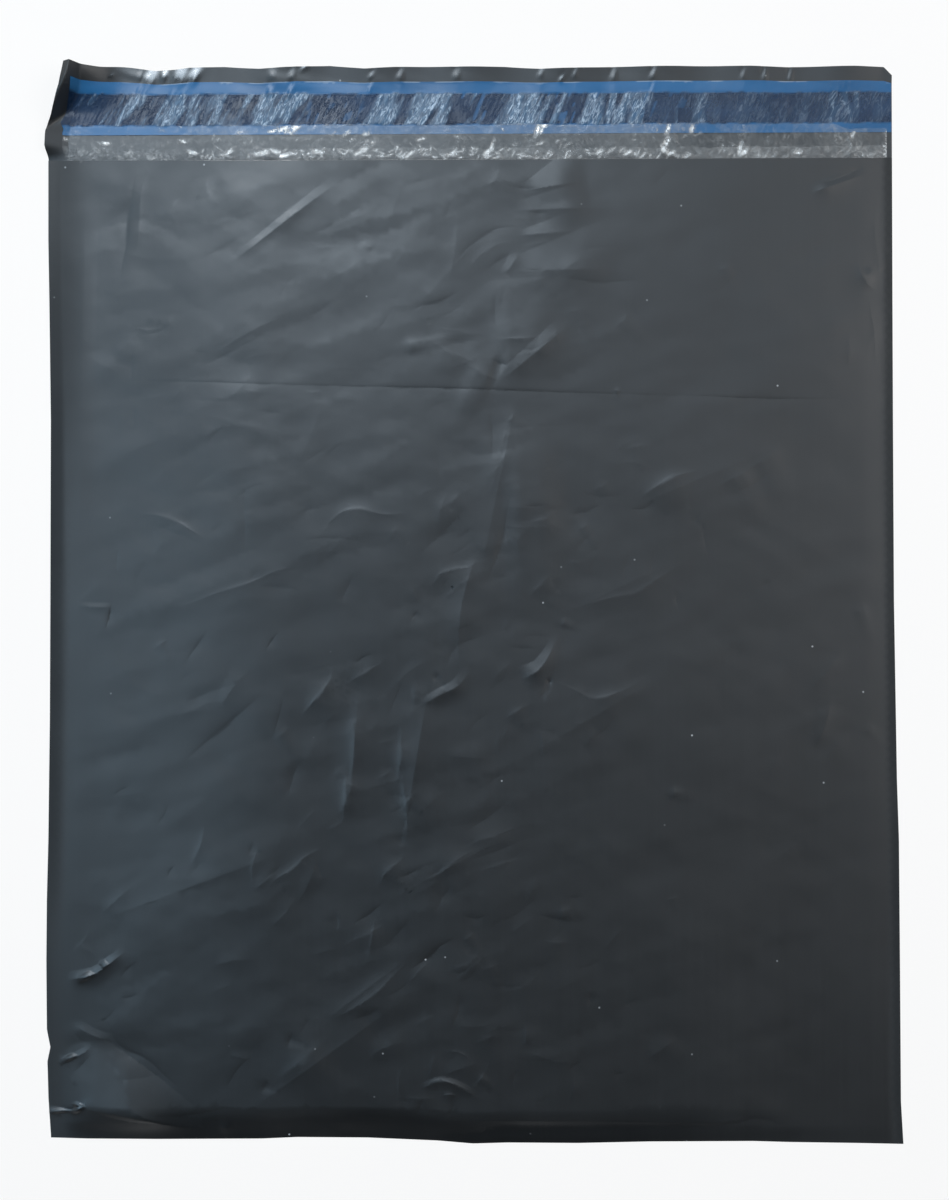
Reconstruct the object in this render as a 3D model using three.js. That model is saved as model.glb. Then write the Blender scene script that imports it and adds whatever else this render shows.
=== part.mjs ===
// Security envelope of dark film, lying flat and empty with its flap open.
// One sheet of film is folded at the bottom and welded at both sides. Its back runs on as the flap.
// A clear lining stands a little out of the mouth. The flap carries adhesive under a blue release strip.
// Millimetres, +Z up. The origin is the middle of the underside, and +Y points to the flap.

import * as THREE from "three";

// Outer pouch
const POUCH_WIDTH = 350;
const POUCH_HEIGHT = 405; // from the bottom fold to the mouth
const FLAP_HEIGHT = 38; // from the mouth to the flap's free edge
const FILM = 0.08; // thickness of the dark film
const WELD = 1.5; // width of the side welds and of the pinched bottom fold
const EDGE_RISE = 1.2; // height of the hollow just inside the welds
const LOFT = 5.8; // how far the front panel swells above that
const SIDE_REACH = 13; // distance from a side weld over which it swells
const FOOT_REACH = 26; // distance from the bottom fold over which it swells
const MOUTH_DRAW = 1.7; // how far the raised middle of the mouth is drawn back

// Flap
const RUFFLE = 1.8; // height of the waves along its free edge
const RUFFLE_LENGTH = 39; // from one wave to the next
const CORNER_RISE = 14; // how far its left corner stands up
const CORNER_REACH = 36; // how far along the flap the lifted corner runs
const CORNER_SLOPE = 1.7; // rise over run of the steep side below the corner
const CORNER_PULL = 8; // how far the lifted corner is drawn in sideways

// Clear lining
const LINING_FILM = 0.05;
const LINING_LOFT = 4.8; // how far its front wall swells
const LINING_FOLD = 0.15; // inner height of its bottom fold
const LINING_OVERLAP = 3.7; // back wall, past the lower edge of the release strip
const LINING_FRONT_LIP = 4; // front wall, past the mouth
const LINING_LEFT = 7.5; // from the pouch's left edge to the lining
const LINING_RIGHT = 2.2; // from the pouch's right edge to the lining
const LINING_BOTTOM = 4; // from the pouch's bottom edge to the lining's fold

// Adhesive and release strip
const ADHESIVE_HEIGHT = 12.9;
const ADHESIVE_THICKNESS = 0.15;
const ADHESIVE_INSET = 4.7; // below the release strip's upper edge
const ADHESIVE_END = 1; // from the ends of the release strip
const STRIP_HEIGHT = 21.5;
const STRIP_FILM = 0.05;
const STRIP_INSET = 6; // below the flap's free edge
const STRIP_LEFT = 6.6; // from the flap's left edge
const STRIP_RIGHT = 1; // from the flap's right edge
const LAYER_GAP = 0.05; // air between layers that lie on one another

// Spacing of the surface points
const PANEL_STEP = 11;
const LINING_STEP = 36;
const FLAP_STEP = 9.75;
const SWELL_STEPS = [0, 0.5, 1.1, 2]; // lines of points by an edge that swells, in shares of its reach

// Derived levels and places
const LEFT = -POUCH_WIDTH / 2;
const RIGHT = POUCH_WIDTH / 2;
const BOTTOM = -(POUCH_HEIGHT + FLAP_HEIGHT) / 2;
const MOUTH = BOTTOM + POUCH_HEIGHT;
const ADHESIVE_LEVEL = FILM + LAYER_GAP;
const STRIP_LEVEL = ADHESIVE_LEVEL + ADHESIVE_THICKNESS + LAYER_GAP;
const LINING_LEVEL = STRIP_LEVEL + STRIP_FILM + LAYER_GAP;
const STRIP_TOP = FLAP_HEIGHT - STRIP_INSET;
const STRIP_FOOT = STRIP_TOP - STRIP_HEIGHT;
const LINING_BACK_LIP = Math.max(LINING_FRONT_LIP, STRIP_FOOT + LINING_OVERLAP);
const ADHESIVE_TOP = STRIP_TOP - ADHESIVE_INSET;
const ADHESIVE_FOOT = ADHESIVE_TOP - ADHESIVE_HEIGHT;

// Creases of the front panel. Places are shares across the panel from the left and up it from the
// bottom. The rise is in millimetres, below zero for a valley, and the reach is half the crease's width.
const CREASES = [
  // The fold right across, from having been folded for packing
  { path: [[0.13, 0.774], [0.34, 0.77], [0.54, 0.764], [0.92, 0.757]], rise: -0.9, reach: 8 },
  // The upright fold near the left side
  { path: [[0.103, 0.994], [0.083, 0.868], [0.096, 0.81], [0.097, 0.724]], rise: -0.9, reach: 9 },
  // The crumpled upright fold down the middle
  { path: [[0.587, 0.998], [0.564, 0.971], [0.572, 0.94], [0.557, 0.887]], rise: 1.5, reach: 9 },
  { path: [[0.6, 0.84], [0.575, 0.805], [0.545, 0.785]], rise: 1.4, reach: 8 },
  { path: [[0.56, 0.932], [0.5, 0.917], [0.478, 0.889], [0.42, 0.838]], rise: -0.9, reach: 9 },
  { path: [[0.42, 0.831], [0.472, 0.805], [0.537, 0.777]], rise: 1.0, reach: 8 },
  { path: [[0.505, 0.754], [0.505, 0.673], [0.519, 0.612], [0.495, 0.55]], rise: 1.3, reach: 9 },
  { path: [[0.584, 0.744], [0.572, 0.673], [0.557, 0.649]], rise: 1.2, reach: 9 },
  { path: [[0.54, 0.745], [0.54, 0.637]], rise: -0.8, reach: 8 },
  // Slanting ridges above the fold
  { path: [[0.226, 0.903], [0.331, 0.968]], rise: 1.5, reach: 9 },
  { path: [[0.183, 0.798], [0.283, 0.842]], rise: 1.2, reach: 9 },
  { path: [[0.66, 0.828], [0.688, 0.848]], rise: 0.9, reach: 9 },
  { path: [[0.908, 0.981], [0.961, 0.994]], rise: 1.0, reach: 8 },
  // Slanting ridges below it
  { path: [[0.11, 0.639], [0.145, 0.637], [0.173, 0.62]], rise: 1.2, reach: 8 },
  { path: [[0.324, 0.622], [0.346, 0.642], [0.383, 0.642], [0.425, 0.644]], rise: 1.2, reach: 8 },
  { path: [[0.14, 0.54], [0.224, 0.567], [0.295, 0.588]], rise: 1.3, reach: 9 },
  { path: [[0.69, 0.649], [0.731, 0.677], [0.772, 0.686]], rise: 1.2, reach: 8 },
  { path: [[0.784, 0.668], [0.837, 0.693], [0.861, 0.708]], rise: 1.2, reach: 8 },
  { path: [[0.601, 0.535], [0.69, 0.561], [0.761, 0.599]], rise: 1.2, reach: 9 },
  { path: [[0.44, 0.563], [0.478, 0.584], [0.507, 0.596]], rise: 1.1, reach: 8 },
  { path: [[0.419, 0.433], [0.452, 0.457], [0.489, 0.477]], rise: 1.3, reach: 8 },
  { path: [[0.292, 0.432], [0.333, 0.484]], rise: 1.2, reach: 8 },
  { path: [[0.597, 0.51], [0.56, 0.474]], rise: 1.4, reach: 8 },
  { path: [[0.59, 0.474], [0.654, 0.454], [0.702, 0.476]], rise: 0.9, reach: 9 },
  { path: [[0.035, 0.55], [0.065, 0.544], [0.1, 0.547]], rise: 1.2, reach: 8 },
  // Ridges in the lower half
  { path: [[0.07, 0.229], [0.153, 0.26], [0.265, 0.287]], rise: 1.0, reach: 11 },
  { path: [[0.254, 0.255], [0.324, 0.301]], rise: 1.1, reach: 8 },
  { path: [[0.383, 0.255], [0.419, 0.296]], rise: 1.0, reach: 8 },
  { path: [[0.436, 0.26], [0.507, 0.301], [0.554, 0.323]], rise: 1.0, reach: 8 },
  { path: [[0.324, 0.127], [0.387, 0.158], [0.43, 0.199]], rise: 1.6, reach: 9 },
  { path: [[0.44, 0.053], [0.466, 0.061], [0.5, 0.045]], rise: 1.0, reach: 8 },
  // Puckers by the bottom corners
  { path: [[0.026, 0.165], [0.077, 0.187]], rise: 1.2, reach: 8 },
  { path: [[0.03, 0.115], [0.067, 0.104], [0.13, 0.061], [0.16, 0.041]], rise: 1.0, reach: 9 },
  { path: [[0.014, 0.033], [0.106, 0.022]], rise: 1.0, reach: 8 },
  { path: [[0.731, 0.004], [0.837, 0.018], [0.884, 0.003]], rise: -0.8, reach: 8 },
];

// Smooth ramp from 0 to 1
function ramp(value, from, to) {
  return THREE.MathUtils.smoothstep(value, from, to);
}

// Share of the full loft at a place on the pouch, nothing at the welds and the bottom fold
function swell(x, y) {
  const side = Math.max(0, Math.min(x - LEFT, RIGHT - x) - WELD);
  const foot = Math.max(0, y - BOTTOM - WELD);
  return (1 - Math.exp(-side / SIDE_REACH)) * (1 - Math.exp(-foot / FOOT_REACH));
}

// A crease as a chain of straight lines on the panel
function creaseLines(crease) {
  const points = crease.path.map(
    ([across, up]) => new THREE.Vector3(LEFT + across * POUCH_WIDTH, BOTTOM + up * POUCH_HEIGHT, 0),
  );
  const lines = [];
  for (let i = 1; i < points.length; i += 1) {
    lines.push(new THREE.Line3(points[i - 1], points[i]));
  }
  return lines;
}

const CREASE_LINES = CREASES.map(creaseLines);

// Height that the creases add at a place on the front panel
function creaseHeight(x, y) {
  const place = new THREE.Vector3(x, y, 0);
  const nearest = new THREE.Vector3();
  let height = 0;
  CREASES.forEach((crease, i) => {
    let distance = Infinity;
    for (const line of CREASE_LINES[i]) {
      line.closestPointToPoint(place, true, nearest);
      distance = Math.min(distance, nearest.distanceTo(place));
    }
    height += crease.rise * Math.exp(-((distance / crease.reach) ** 2));
  });
  return THREE.MathUtils.clamp(height, -0.9, 2.2);
}

// Underside of the front panel, inside the welds
function panelLevel(x, y) {
  const share = swell(x, y);
  return FILM + EDGE_RISE + LOFT * share + creaseHeight(x, y) * Math.min(1, 1.5 * share);
}

// A point of the front panel or the lining's front wall, drawn back where the mouth is raised
function frontPoint(x, y, z) {
  const share = swell(x, y);
  return new THREE.Vector3(x, y - MOUTH_DRAW * share * ramp(y, MOUTH - 0.25 * POUCH_HEIGHT, MOUTH), z);
}

// Underside of the lining's front wall
function liningLevel(x, y) {
  return LINING_LEVEL + LINING_FILM + LINING_FOLD + LINING_LOFT * swell(x, y);
}

// Height of the flap's waves and of its lifted left corner
function flapLevel(u, v) {
  const along = u - LEFT;
  const up = Math.max(0, v) / FLAP_HEIGHT;
  const wave = 0.5 - 0.5 * Math.cos((2 * Math.PI * along) / RUFFLE_LENGTH);
  const ruffle = RUFFLE * up * up * wave * ramp(along, CORNER_REACH * 0.5, CORNER_REACH * 1.5);
  const ridge = CORNER_RISE * ramp(up, 0.15, 0.85);
  const steep = Math.max(0, ridge - CORNER_SLOPE * Math.max(0, along - 0.08 * CORNER_REACH));
  const fall = Math.max(0, 1 - along / CORNER_REACH);
  const gentle = 0.85 * CORNER_RISE * fall * fall * ramp(up, 0.5, 1);
  return ruffle + Math.max(steep, gentle);
}

// A point of the flap, u across and v up from the mouth, at a level above the flap's underside
function flapPoint(u, v, level) {
  const along = u - LEFT;
  const up = Math.max(0, v) / FLAP_HEIGHT;
  const draw = CORNER_PULL * ramp(up, 0.15, 1) * (1 - ramp(along, 0, CORNER_REACH));
  return new THREE.Vector3(u + draw, MOUTH + v, flapLevel(u, v) + level);
}

// Sorted places with near doubles left out
function sorted(places) {
  const kept = [];
  for (const place of [...places].sort((a, b) => a - b)) {
    if (kept.length === 0 || place - kept[kept.length - 1] > 0.02) {
      kept.push(place);
    }
  }
  return kept;
}

// Places between two ends at even steps, both ends included
function evenly(from, to, step) {
  const count = Math.max(1, Math.round((to - from) / step));
  return Array.from({ length: count + 1 }, (_, i) => from + ((to - from) * i) / count);
}

// A closed body put together from patches that share their points
class Body {
  constructor() {
    this.points = [];
    this.faces = [];
  }

  point(x, y, z) {
    this.points.push(x, y, z);
    return this.points.length / 3 - 1;
  }

  grid(columns, rows, place) {
    return rows.map((row) =>
      columns.map((column) => {
        const p = place(column, row);
        return this.point(p.x, p.y, p.z);
      }),
    );
  }

  quad(a, b, c, d) {
    this.faces.push(a, b, c, a, c, d);
  }

  // A grid of points seen from above, or from below where it is turned over
  patch(grid, over) {
    for (let r = 1; r < grid.length; r += 1) {
      for (let c = 1; c < grid[r].length; c += 1) {
        const a = grid[r - 1][c - 1];
        const b = grid[r - 1][c];
        const d = grid[r][c - 1];
        const e = grid[r][c];
        if (over) {
          this.faces.push(a, e, b, a, d, e);
        } else {
          this.faces.push(a, b, e, a, e, d);
        }
      }
    }
  }

  // A wall between a lower and an upper chain of points, its outside to the right of the way along
  wall(lower, upper) {
    for (let i = 1; i < lower.length; i += 1) {
      this.quad(lower[i - 1], lower[i], upper[i], upper[i - 1]);
    }
  }

  // A level face inside a chain of points, counter-clockwise seen from above
  level(chain, over) {
    const outline = chain.map((i) => new THREE.Vector2(this.points[3 * i], this.points[3 * i + 1]));
    for (const [a, b, c] of THREE.ShapeUtils.triangulateShape(outline, [])) {
      if (over) {
        this.faces.push(chain[a], chain[c], chain[b]);
      } else {
        this.faces.push(chain[a], chain[b], chain[c]);
      }
    }
  }

  mesh(name, material) {
    const geometry = new THREE.BufferGeometry();
    geometry.setAttribute("position", new THREE.Float32BufferAttribute(this.points, 3));
    geometry.setIndex(this.faces);
    geometry.computeVertexNormals();
    const mesh = new THREE.Mesh(geometry, material);
    mesh.name = name;
    return mesh;
  }
}

const firstOf = (grid) => grid.map((row) => row[0]);
const lastOf = (grid) => grid.map((row) => row[row.length - 1]);
const reversed = (chain) => [...chain].reverse();

// Every layer on the flap shares these columns and rows, so the layers stay parallel
const LINING_START = LEFT + LINING_LEFT;
const LINING_END = RIGHT - LINING_RIGHT;
const STRIP_START = LEFT + STRIP_LEFT;
const STRIP_END = RIGHT - STRIP_RIGHT;
const FLAP_COLUMNS = sorted([
  LEFT,
  LEFT + WELD,
  ...[0.08, 0.12, 0.17, 0.24, 0.32, 0.41, 0.52, 0.66, 0.82].map((share) => LEFT + share * CORNER_REACH),
  ...evenly(LEFT + CORNER_REACH, RIGHT - 2 * WELD - LINING_RIGHT, FLAP_STEP),
  LINING_START,
  LINING_END,
  STRIP_START,
  STRIP_START + ADHESIVE_END,
  STRIP_END - ADHESIVE_END,
  STRIP_END,
  RIGHT - WELD,
  RIGHT,
]);
const FLAP_ROWS = sorted([
  0,
  LINING_BACK_LIP,
  STRIP_FOOT,
  ADHESIVE_FOOT,
  ADHESIVE_TOP,
  STRIP_TOP,
  (ADHESIVE_FOOT + ADHESIVE_TOP) / 2,
  FLAP_HEIGHT,
]);

function within(places, from, to) {
  return places.filter((place) => place > from - 0.03 && place < to + 0.03);
}

// A thin strip that lies on the flap
function flapStrip(from, to, foot, top, level, thickness) {
  const body = new Body();
  const columns = within(FLAP_COLUMNS, from, to);
  const rows = within(FLAP_ROWS, foot, top);
  const lower = body.grid(columns, rows, (u, v) => flapPoint(u, v, level));
  const upper = body.grid(columns, rows, (u, v) => flapPoint(u, v, level + thickness));
  body.patch(lower, true);
  body.patch(upper, false);
  body.wall(lower[0], upper[0]);
  body.wall(lastOf(lower), lastOf(upper));
  body.wall(reversed(lower[rows.length - 1]), reversed(upper[rows.length - 1]));
  body.wall(reversed(firstOf(lower)), reversed(firstOf(upper)));
  return body;
}

// The dark film: back panel with flap, and the front panel that is open at the mouth
function outerPouch() {
  const body = new Body();
  const columns = sorted([
    LEFT,
    LEFT + WELD,
    LEFT + WELD + 4,
    ...evenly(LEFT + WELD + 10, RIGHT - WELD - 10, PANEL_STEP),
    RIGHT - WELD - 4,
    RIGHT - WELD,
    RIGHT,
  ]);
  const rows = sorted([
    BOTTOM,
    BOTTOM + WELD,
    BOTTOM + WELD + 5,
    ...evenly(BOTTOM + WELD + 12, MOUTH, PANEL_STEP),
  ]);
  const lastColumn = columns.length - 1;
  const lastRow = rows.length - 1;
  const hollowColumns = columns.slice(1, lastColumn);
  const hollowRows = rows.slice(1);

  // Front panel, outside and inside
  const onEdge = (x, y) => x === LEFT || x === RIGHT || y === BOTTOM;
  const front = body.grid(columns, rows, (x, y) =>
    frontPoint(x, y, onEdge(x, y) ? 2 * FILM : panelLevel(x, y) + FILM),
  );
  const inside = body.grid(hollowColumns, hollowRows, (x, y) => frontPoint(x, y, panelLevel(x, y)));
  body.patch(front, false);
  body.patch(inside, true);

  // Flap, upper and under side
  const flapRows = within(FLAP_ROWS, 0, FLAP_HEIGHT);
  const flapUpper = body.grid(FLAP_COLUMNS, flapRows, (u, v) => flapPoint(u, v, FILM));
  const flapUnder = body.grid(FLAP_COLUMNS, flapRows, (u, v) => flapPoint(u, v, 0));
  const flapTop = flapRows.length - 1;
  body.patch(flapUpper, false);
  body.patch(flapUnder, true);
  body.wall(lastOf(flapUnder), lastOf(flapUpper));
  body.wall(reversed(flapUnder[flapTop]), reversed(flapUpper[flapTop]));
  body.wall(reversed(firstOf(flapUnder)), reversed(firstOf(flapUpper)));

  // Underside of the back panel, and the outer walls up to the front panel
  const underBottom = columns.map((x) => body.point(x, BOTTOM, 0));
  const underLeft = [underBottom[0], ...rows.slice(1, lastRow).map((y) => body.point(LEFT, y, 0))];
  const underRight = [underBottom[lastColumn], ...rows.slice(1, lastRow).map((y) => body.point(RIGHT, y, 0))];
  const underMouth = flapUnder[0];
  underLeft.push(underMouth[0]);
  underRight.push(underMouth[underMouth.length - 1]);
  const underChain = [
    ...underBottom,
    ...underRight.slice(1),
    ...reversed(underMouth).slice(1),
    ...reversed(underLeft).slice(1, -1),
  ];
  body.level(underChain, true);
  body.wall(underBottom, front[0]);
  body.wall(underRight, lastOf(front));
  body.wall(reversed(underLeft), reversed(firstOf(front)));

  // Floor of the hollow, and its low walls along the welds
  const mouthRow = flapUpper[0];
  const inMouth = mouthRow.slice(1, -1);
  const floorBottom = hollowColumns.map((x) => body.point(x, BOTTOM + WELD, FILM));
  const floorSide = (x, first, last) => [
    first,
    ...hollowRows.slice(1, -1).map((y) => body.point(x, y, FILM)),
    last,
  ];
  const floorLeft = floorSide(LEFT + WELD, floorBottom[0], inMouth[0]);
  const floorRight = floorSide(RIGHT - WELD, floorBottom.at(-1), inMouth.at(-1));
  const floorChain = [
    ...floorBottom,
    ...floorRight.slice(1),
    ...reversed(inMouth).slice(1),
    ...reversed(floorLeft).slice(1, -1),
  ];
  body.level(floorChain, false);
  body.wall(reversed(floorBottom), reversed(inside[0]));
  body.wall(reversed(floorRight), reversed(lastOf(inside)));
  body.wall(floorLeft, firstOf(inside));

  // Cut edge of the front panel at the mouth, and the ends of the welds there
  const frontEdge = front[lastRow];
  const innerEdge = inside[inside.length - 1];
  body.wall(reversed(innerEdge), reversed(frontEdge.slice(1, -1)));
  const weldEnd = (outerLow, innerLow, innerMid, innerHigh, outerHigh, turned) => {
    const ring = [outerLow, innerLow, innerMid, innerHigh, outerHigh];
    for (let i = 2; i < ring.length; i += 1) {
      if (turned) {
        body.faces.push(ring[0], ring[i], ring[i - 1]);
      } else {
        body.faces.push(ring[0], ring[i - 1], ring[i]);
      }
    }
  };
  const edgeEnd = frontEdge.length - 1;
  const innerEnd = innerEdge.length - 1;
  weldEnd(mouthRow[0], inMouth[0], innerEdge[0], frontEdge[1], frontEdge[0], true);
  weldEnd(
    mouthRow[mouthRow.length - 1],
    inMouth[inMouth.length - 1],
    innerEdge[innerEnd],
    frontEdge[edgeEnd - 1],
    frontEdge[edgeEnd],
    false,
  );

  // Ends of the outer walls at the mouth, where the front panel's edge meets the flap's
  body.faces.push(underRight[underRight.length - 1], mouthRow[mouthRow.length - 1], frontEdge[edgeEnd]);
  body.faces.push(underLeft[underLeft.length - 1], frontEdge[0], mouthRow[0]);
  return body;
}

// The clear film: a back wall that runs out over the flap, and a front wall, joined by a fold
function innerLining() {
  const body = new Body();
  const foot = BOTTOM + LINING_BOTTOM;
  const lipColumns = within(FLAP_COLUMNS, LINING_START, LINING_END);
  const lipRows = within(FLAP_ROWS, 0, LINING_BACK_LIP);
  const columns = sorted([
    ...SWELL_STEPS.map((step) => LINING_START + step * SIDE_REACH),
    ...evenly(LINING_START + 3.2 * SIDE_REACH, LINING_END - 3.2 * SIDE_REACH, LINING_STEP),
    ...SWELL_STEPS.map((step) => LINING_END - step * SIDE_REACH),
  ]);
  const rows = sorted([
    foot,
    ...SWELL_STEPS.map((step) => foot + LINING_FILM + step * FOOT_REACH),
    ...evenly(foot + 3.2 * FOOT_REACH, MOUTH, LINING_STEP),
    MOUTH + LINING_FRONT_LIP,
  ]);
  const innerRows = rows.slice(1);

  // Front wall, outside and inside
  const outside = body.grid(columns, rows, (x, y) => frontPoint(x, y, liningLevel(x, y) + LINING_FILM));
  const inside = body.grid(columns, innerRows, (x, y) => frontPoint(x, y, liningLevel(x, y)));
  body.patch(outside, false);
  body.patch(inside, true);

  // Back wall's lip on the flap
  const lipUpper = body.grid(lipColumns, lipRows, (u, v) => flapPoint(u, v, LINING_LEVEL + LINING_FILM));
  const lipUnder = body.grid(lipColumns, lipRows, (u, v) => flapPoint(u, v, LINING_LEVEL));
  const lipTop = lipRows.length - 1;
  body.patch(lipUpper, false);
  body.patch(lipUnder, true);
  body.wall(lastOf(lipUnder), lastOf(lipUpper));
  body.wall(reversed(lipUnder[lipTop]), reversed(lipUpper[lipTop]));
  body.wall(reversed(firstOf(lipUnder)), reversed(firstOf(lipUpper)));

  // Level part of the back wall, both sides
  const underFold = columns.map((x) => body.point(x, foot, LINING_LEVEL));
  const upperFold = columns.map((x) => body.point(x, foot + LINING_FILM, LINING_LEVEL + LINING_FILM));
  const last = columns.length - 1;
  const lipLast = lipColumns.length - 1;
  body.level([...underFold, ...reversed(lipUnder[0])], true);
  body.level([...upperFold, ...reversed(lipUpper[0])], false);
  const upperRight = [upperFold[last], lipUpper[0][lipLast]];
  const upperLeft = [upperFold[0], lipUpper[0][0]];
  body.wall([underFold[last], lipUnder[0][lipLast]], upperRight);
  body.wall([lipUnder[0][0], underFold[0]], reversed(upperLeft));

  // The fold, outside and inside, and the ends of the fold at both sides
  body.wall(underFold, outside[0]);
  body.wall(reversed(upperFold), reversed(inside[0]));
  body.faces.push(underFold[last], upperFold[last], inside[0][last]);
  body.faces.push(underFold[last], inside[0][last], outside[0][last]);
  body.faces.push(underFold[0], inside[0][0], upperFold[0]);
  body.faces.push(underFold[0], outside[0][0], inside[0][0]);

  // Edges of the front wall
  const outsideRight = lastOf(outside);
  const insideRight = lastOf(inside);
  const outsideLeft = firstOf(outside);
  const insideLeft = firstOf(inside);
  body.faces.push(outsideRight[0], insideRight[0], outsideRight[1]);
  body.faces.push(outsideLeft[0], outsideLeft[1], insideLeft[0]);
  body.wall(insideRight, outsideRight.slice(1));
  body.wall(reversed(insideLeft), reversed(outsideLeft.slice(1)));
  body.wall(reversed(inside[inside.length - 1]), reversed(outside[outside.length - 1]));
  return body;
}

const darkFilm = new THREE.MeshStandardMaterial({ color: 0x3b3e42, roughness: 0.38, metalness: 0 });
const clearFilm = new THREE.MeshStandardMaterial({
  color: 0xd3d7da,
  roughness: 0.2,
  metalness: 0,
  transparent: true,
  opacity: 0.35,
});
const adhesive = new THREE.MeshStandardMaterial({ color: 0x2c3f55, roughness: 0.35, metalness: 0 });
const blueFilm = new THREE.MeshStandardMaterial({ color: 0x416c98, roughness: 0.3, metalness: 0 });

const envelope = new THREE.Group();
envelope.name = "security_envelope";
envelope.add(outerPouch().mesh("outer_pouch", darkFilm));
envelope.add(innerLining().mesh("inner_lining", clearFilm));
envelope.add(
  flapStrip(
    STRIP_START + ADHESIVE_END,
    STRIP_END - ADHESIVE_END,
    ADHESIVE_FOOT,
    ADHESIVE_TOP,
    ADHESIVE_LEVEL,
    ADHESIVE_THICKNESS,
  ).mesh("adhesive_strip", adhesive),
);
envelope.add(
  flapStrip(STRIP_START, STRIP_END, STRIP_FOOT, STRIP_TOP, STRIP_LEVEL, STRIP_FILM).mesh(
    "release_strip",
    blueFilm,
  ),
);

export default envelope;
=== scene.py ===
"""Looks of the dark film mailing envelope, which lies flat and empty with its flap open.

Lengths are in millimetres until a mesh is made, and the mesh is in metres. +X is to the right across the
envelope, +Y runs from the bottom fold to the flap and +Z is up. Creases, folds and bright spots are placed by
pixels of the photograph, which seen_at() turns into millimetres.
"""

import math

import bpy
import numpy as np
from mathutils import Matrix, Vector
from mathutils.geometry import delaunay_2d_cdt


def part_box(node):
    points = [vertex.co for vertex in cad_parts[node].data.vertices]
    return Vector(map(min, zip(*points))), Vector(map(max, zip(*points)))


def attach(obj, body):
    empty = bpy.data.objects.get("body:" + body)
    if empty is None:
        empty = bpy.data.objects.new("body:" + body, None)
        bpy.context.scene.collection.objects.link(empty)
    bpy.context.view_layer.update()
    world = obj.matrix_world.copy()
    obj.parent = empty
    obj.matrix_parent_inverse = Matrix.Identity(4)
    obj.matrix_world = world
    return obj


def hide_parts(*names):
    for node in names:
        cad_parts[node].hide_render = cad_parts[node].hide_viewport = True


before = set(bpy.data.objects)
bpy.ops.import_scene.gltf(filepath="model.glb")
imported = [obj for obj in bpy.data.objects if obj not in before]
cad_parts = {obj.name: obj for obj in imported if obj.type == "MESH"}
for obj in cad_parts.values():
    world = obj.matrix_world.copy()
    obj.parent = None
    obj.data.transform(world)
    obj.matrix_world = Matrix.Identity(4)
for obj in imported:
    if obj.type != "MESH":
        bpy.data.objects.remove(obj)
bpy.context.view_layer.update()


# Camera of the photograph

IMAGE_WIDTH = 949
IMAGE_HEIGHT = 1200
CAMERA_PLACE = (11.33, -9.58, 749.24)
CAMERA_TURN = (0.796, 0.813, -0.014)  # degrees about X, Y and Z, from straight down
CAMERA_ANGLE = 36.6  # degrees from the photograph's foot to its top


def camera_axes():
    """The camera's right, up and backward directions, as the columns of a matrix."""
    a, b, c = (math.radians(t) for t in CAMERA_TURN)
    turn_x = np.array([[1, 0, 0], [0, math.cos(a), -math.sin(a)], [0, math.sin(a), math.cos(a)]])
    turn_y = np.array([[math.cos(b), 0, math.sin(b)], [0, 1, 0], [-math.sin(b), 0, math.cos(b)]])
    turn_z = np.array([[math.cos(c), -math.sin(c), 0], [math.sin(c), math.cos(c), 0], [0, 0, 1]])
    return turn_z @ turn_y @ turn_x


CAMERA_AXES = camera_axes()
FOCAL = IMAGE_HEIGHT / 2 / math.tan(math.radians(CAMERA_ANGLE) / 2)


def seen_at(points, level):
    """Where points of the photograph, in its pixels, lie on the level plane at that height."""
    p = np.asarray(points, float)
    rays = np.column_stack(((p[:, 0] - IMAGE_WIDTH / 2) / FOCAL, (IMAGE_HEIGHT / 2 - p[:, 1]) / FOCAL,
                            -np.ones(len(p)))) @ CAMERA_AXES.T
    reach = (level - CAMERA_PLACE[2]) / rays[:, 2]
    return np.array(CAMERA_PLACE[:2]) + rays[:, :2] * reach[:, None]


# Main sizes. The pouch's box comes from the frame, and the rest are the CAD model's or close to them

POUCH_BOX = [[round(c * 1000, 3) for c in corner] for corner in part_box("outer_pouch")]
(LEFT, BOTTOM, _), (RIGHT, TOP, _) = POUCH_BOX
FLAP = 38.0  # from the mouth to the flap's free edge
MOUTH = TOP - FLAP
EDGE_LEVEL = 0.16  # height of the film's upper face at the welds
EDGE_CURL = 0.3  # how far the left edge curls up
LOFT = 6.0  # how far the front panel swells
MOUTH_DRAW = 1.7  # how far the raised middle of the mouth is drawn back
RUFFLE = 0.9  # height of the waves along the flap's free edge
RUFFLE_LENGTH = 39.0  # from one wave to the next
CORNER_RISE = 14.0  # how far the flap's left corner stands up
CORNER_REACH = 36.0  # how far along the flap the lifted corner runs
CORNER_SLOPE = 1.7  # rise over run of its steep side
CORNER_CREST = 2.9  # from the flap's left edge to the corner's highest line
STRIP_LEFT, STRIP_RIGHT = LEFT + 6.6, RIGHT - 1.0
STRIP_TOP = FLAP - 6.0  # above the mouth, as are the next four
STRIP_FOOT = STRIP_TOP - 21.5
GLUE_TOP = STRIP_TOP - 4.7
GLUE_FOOT = GLUE_TOP - 12.9
BACK_LIP = STRIP_FOOT + 3.7
FRONT_LIP = 4.0
GLUE_LEFT, GLUE_RIGHT = STRIP_LEFT + 1.0, STRIP_RIGHT - 1.0
LINING_LEFT, LINING_RIGHT = LEFT + 6.8, RIGHT - 2.2
LINING_BOTTOM = BOTTOM + 4.0

# Heights at which places in the photograph are read
AT_PANEL = 5.0
AT_CORNER = 0.6  # the panel's lower left corner
AT_EDGE = 0.2
AT_FLAP = 0.8
AT_LIP = 5.5  # the front lip of the lining

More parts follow.
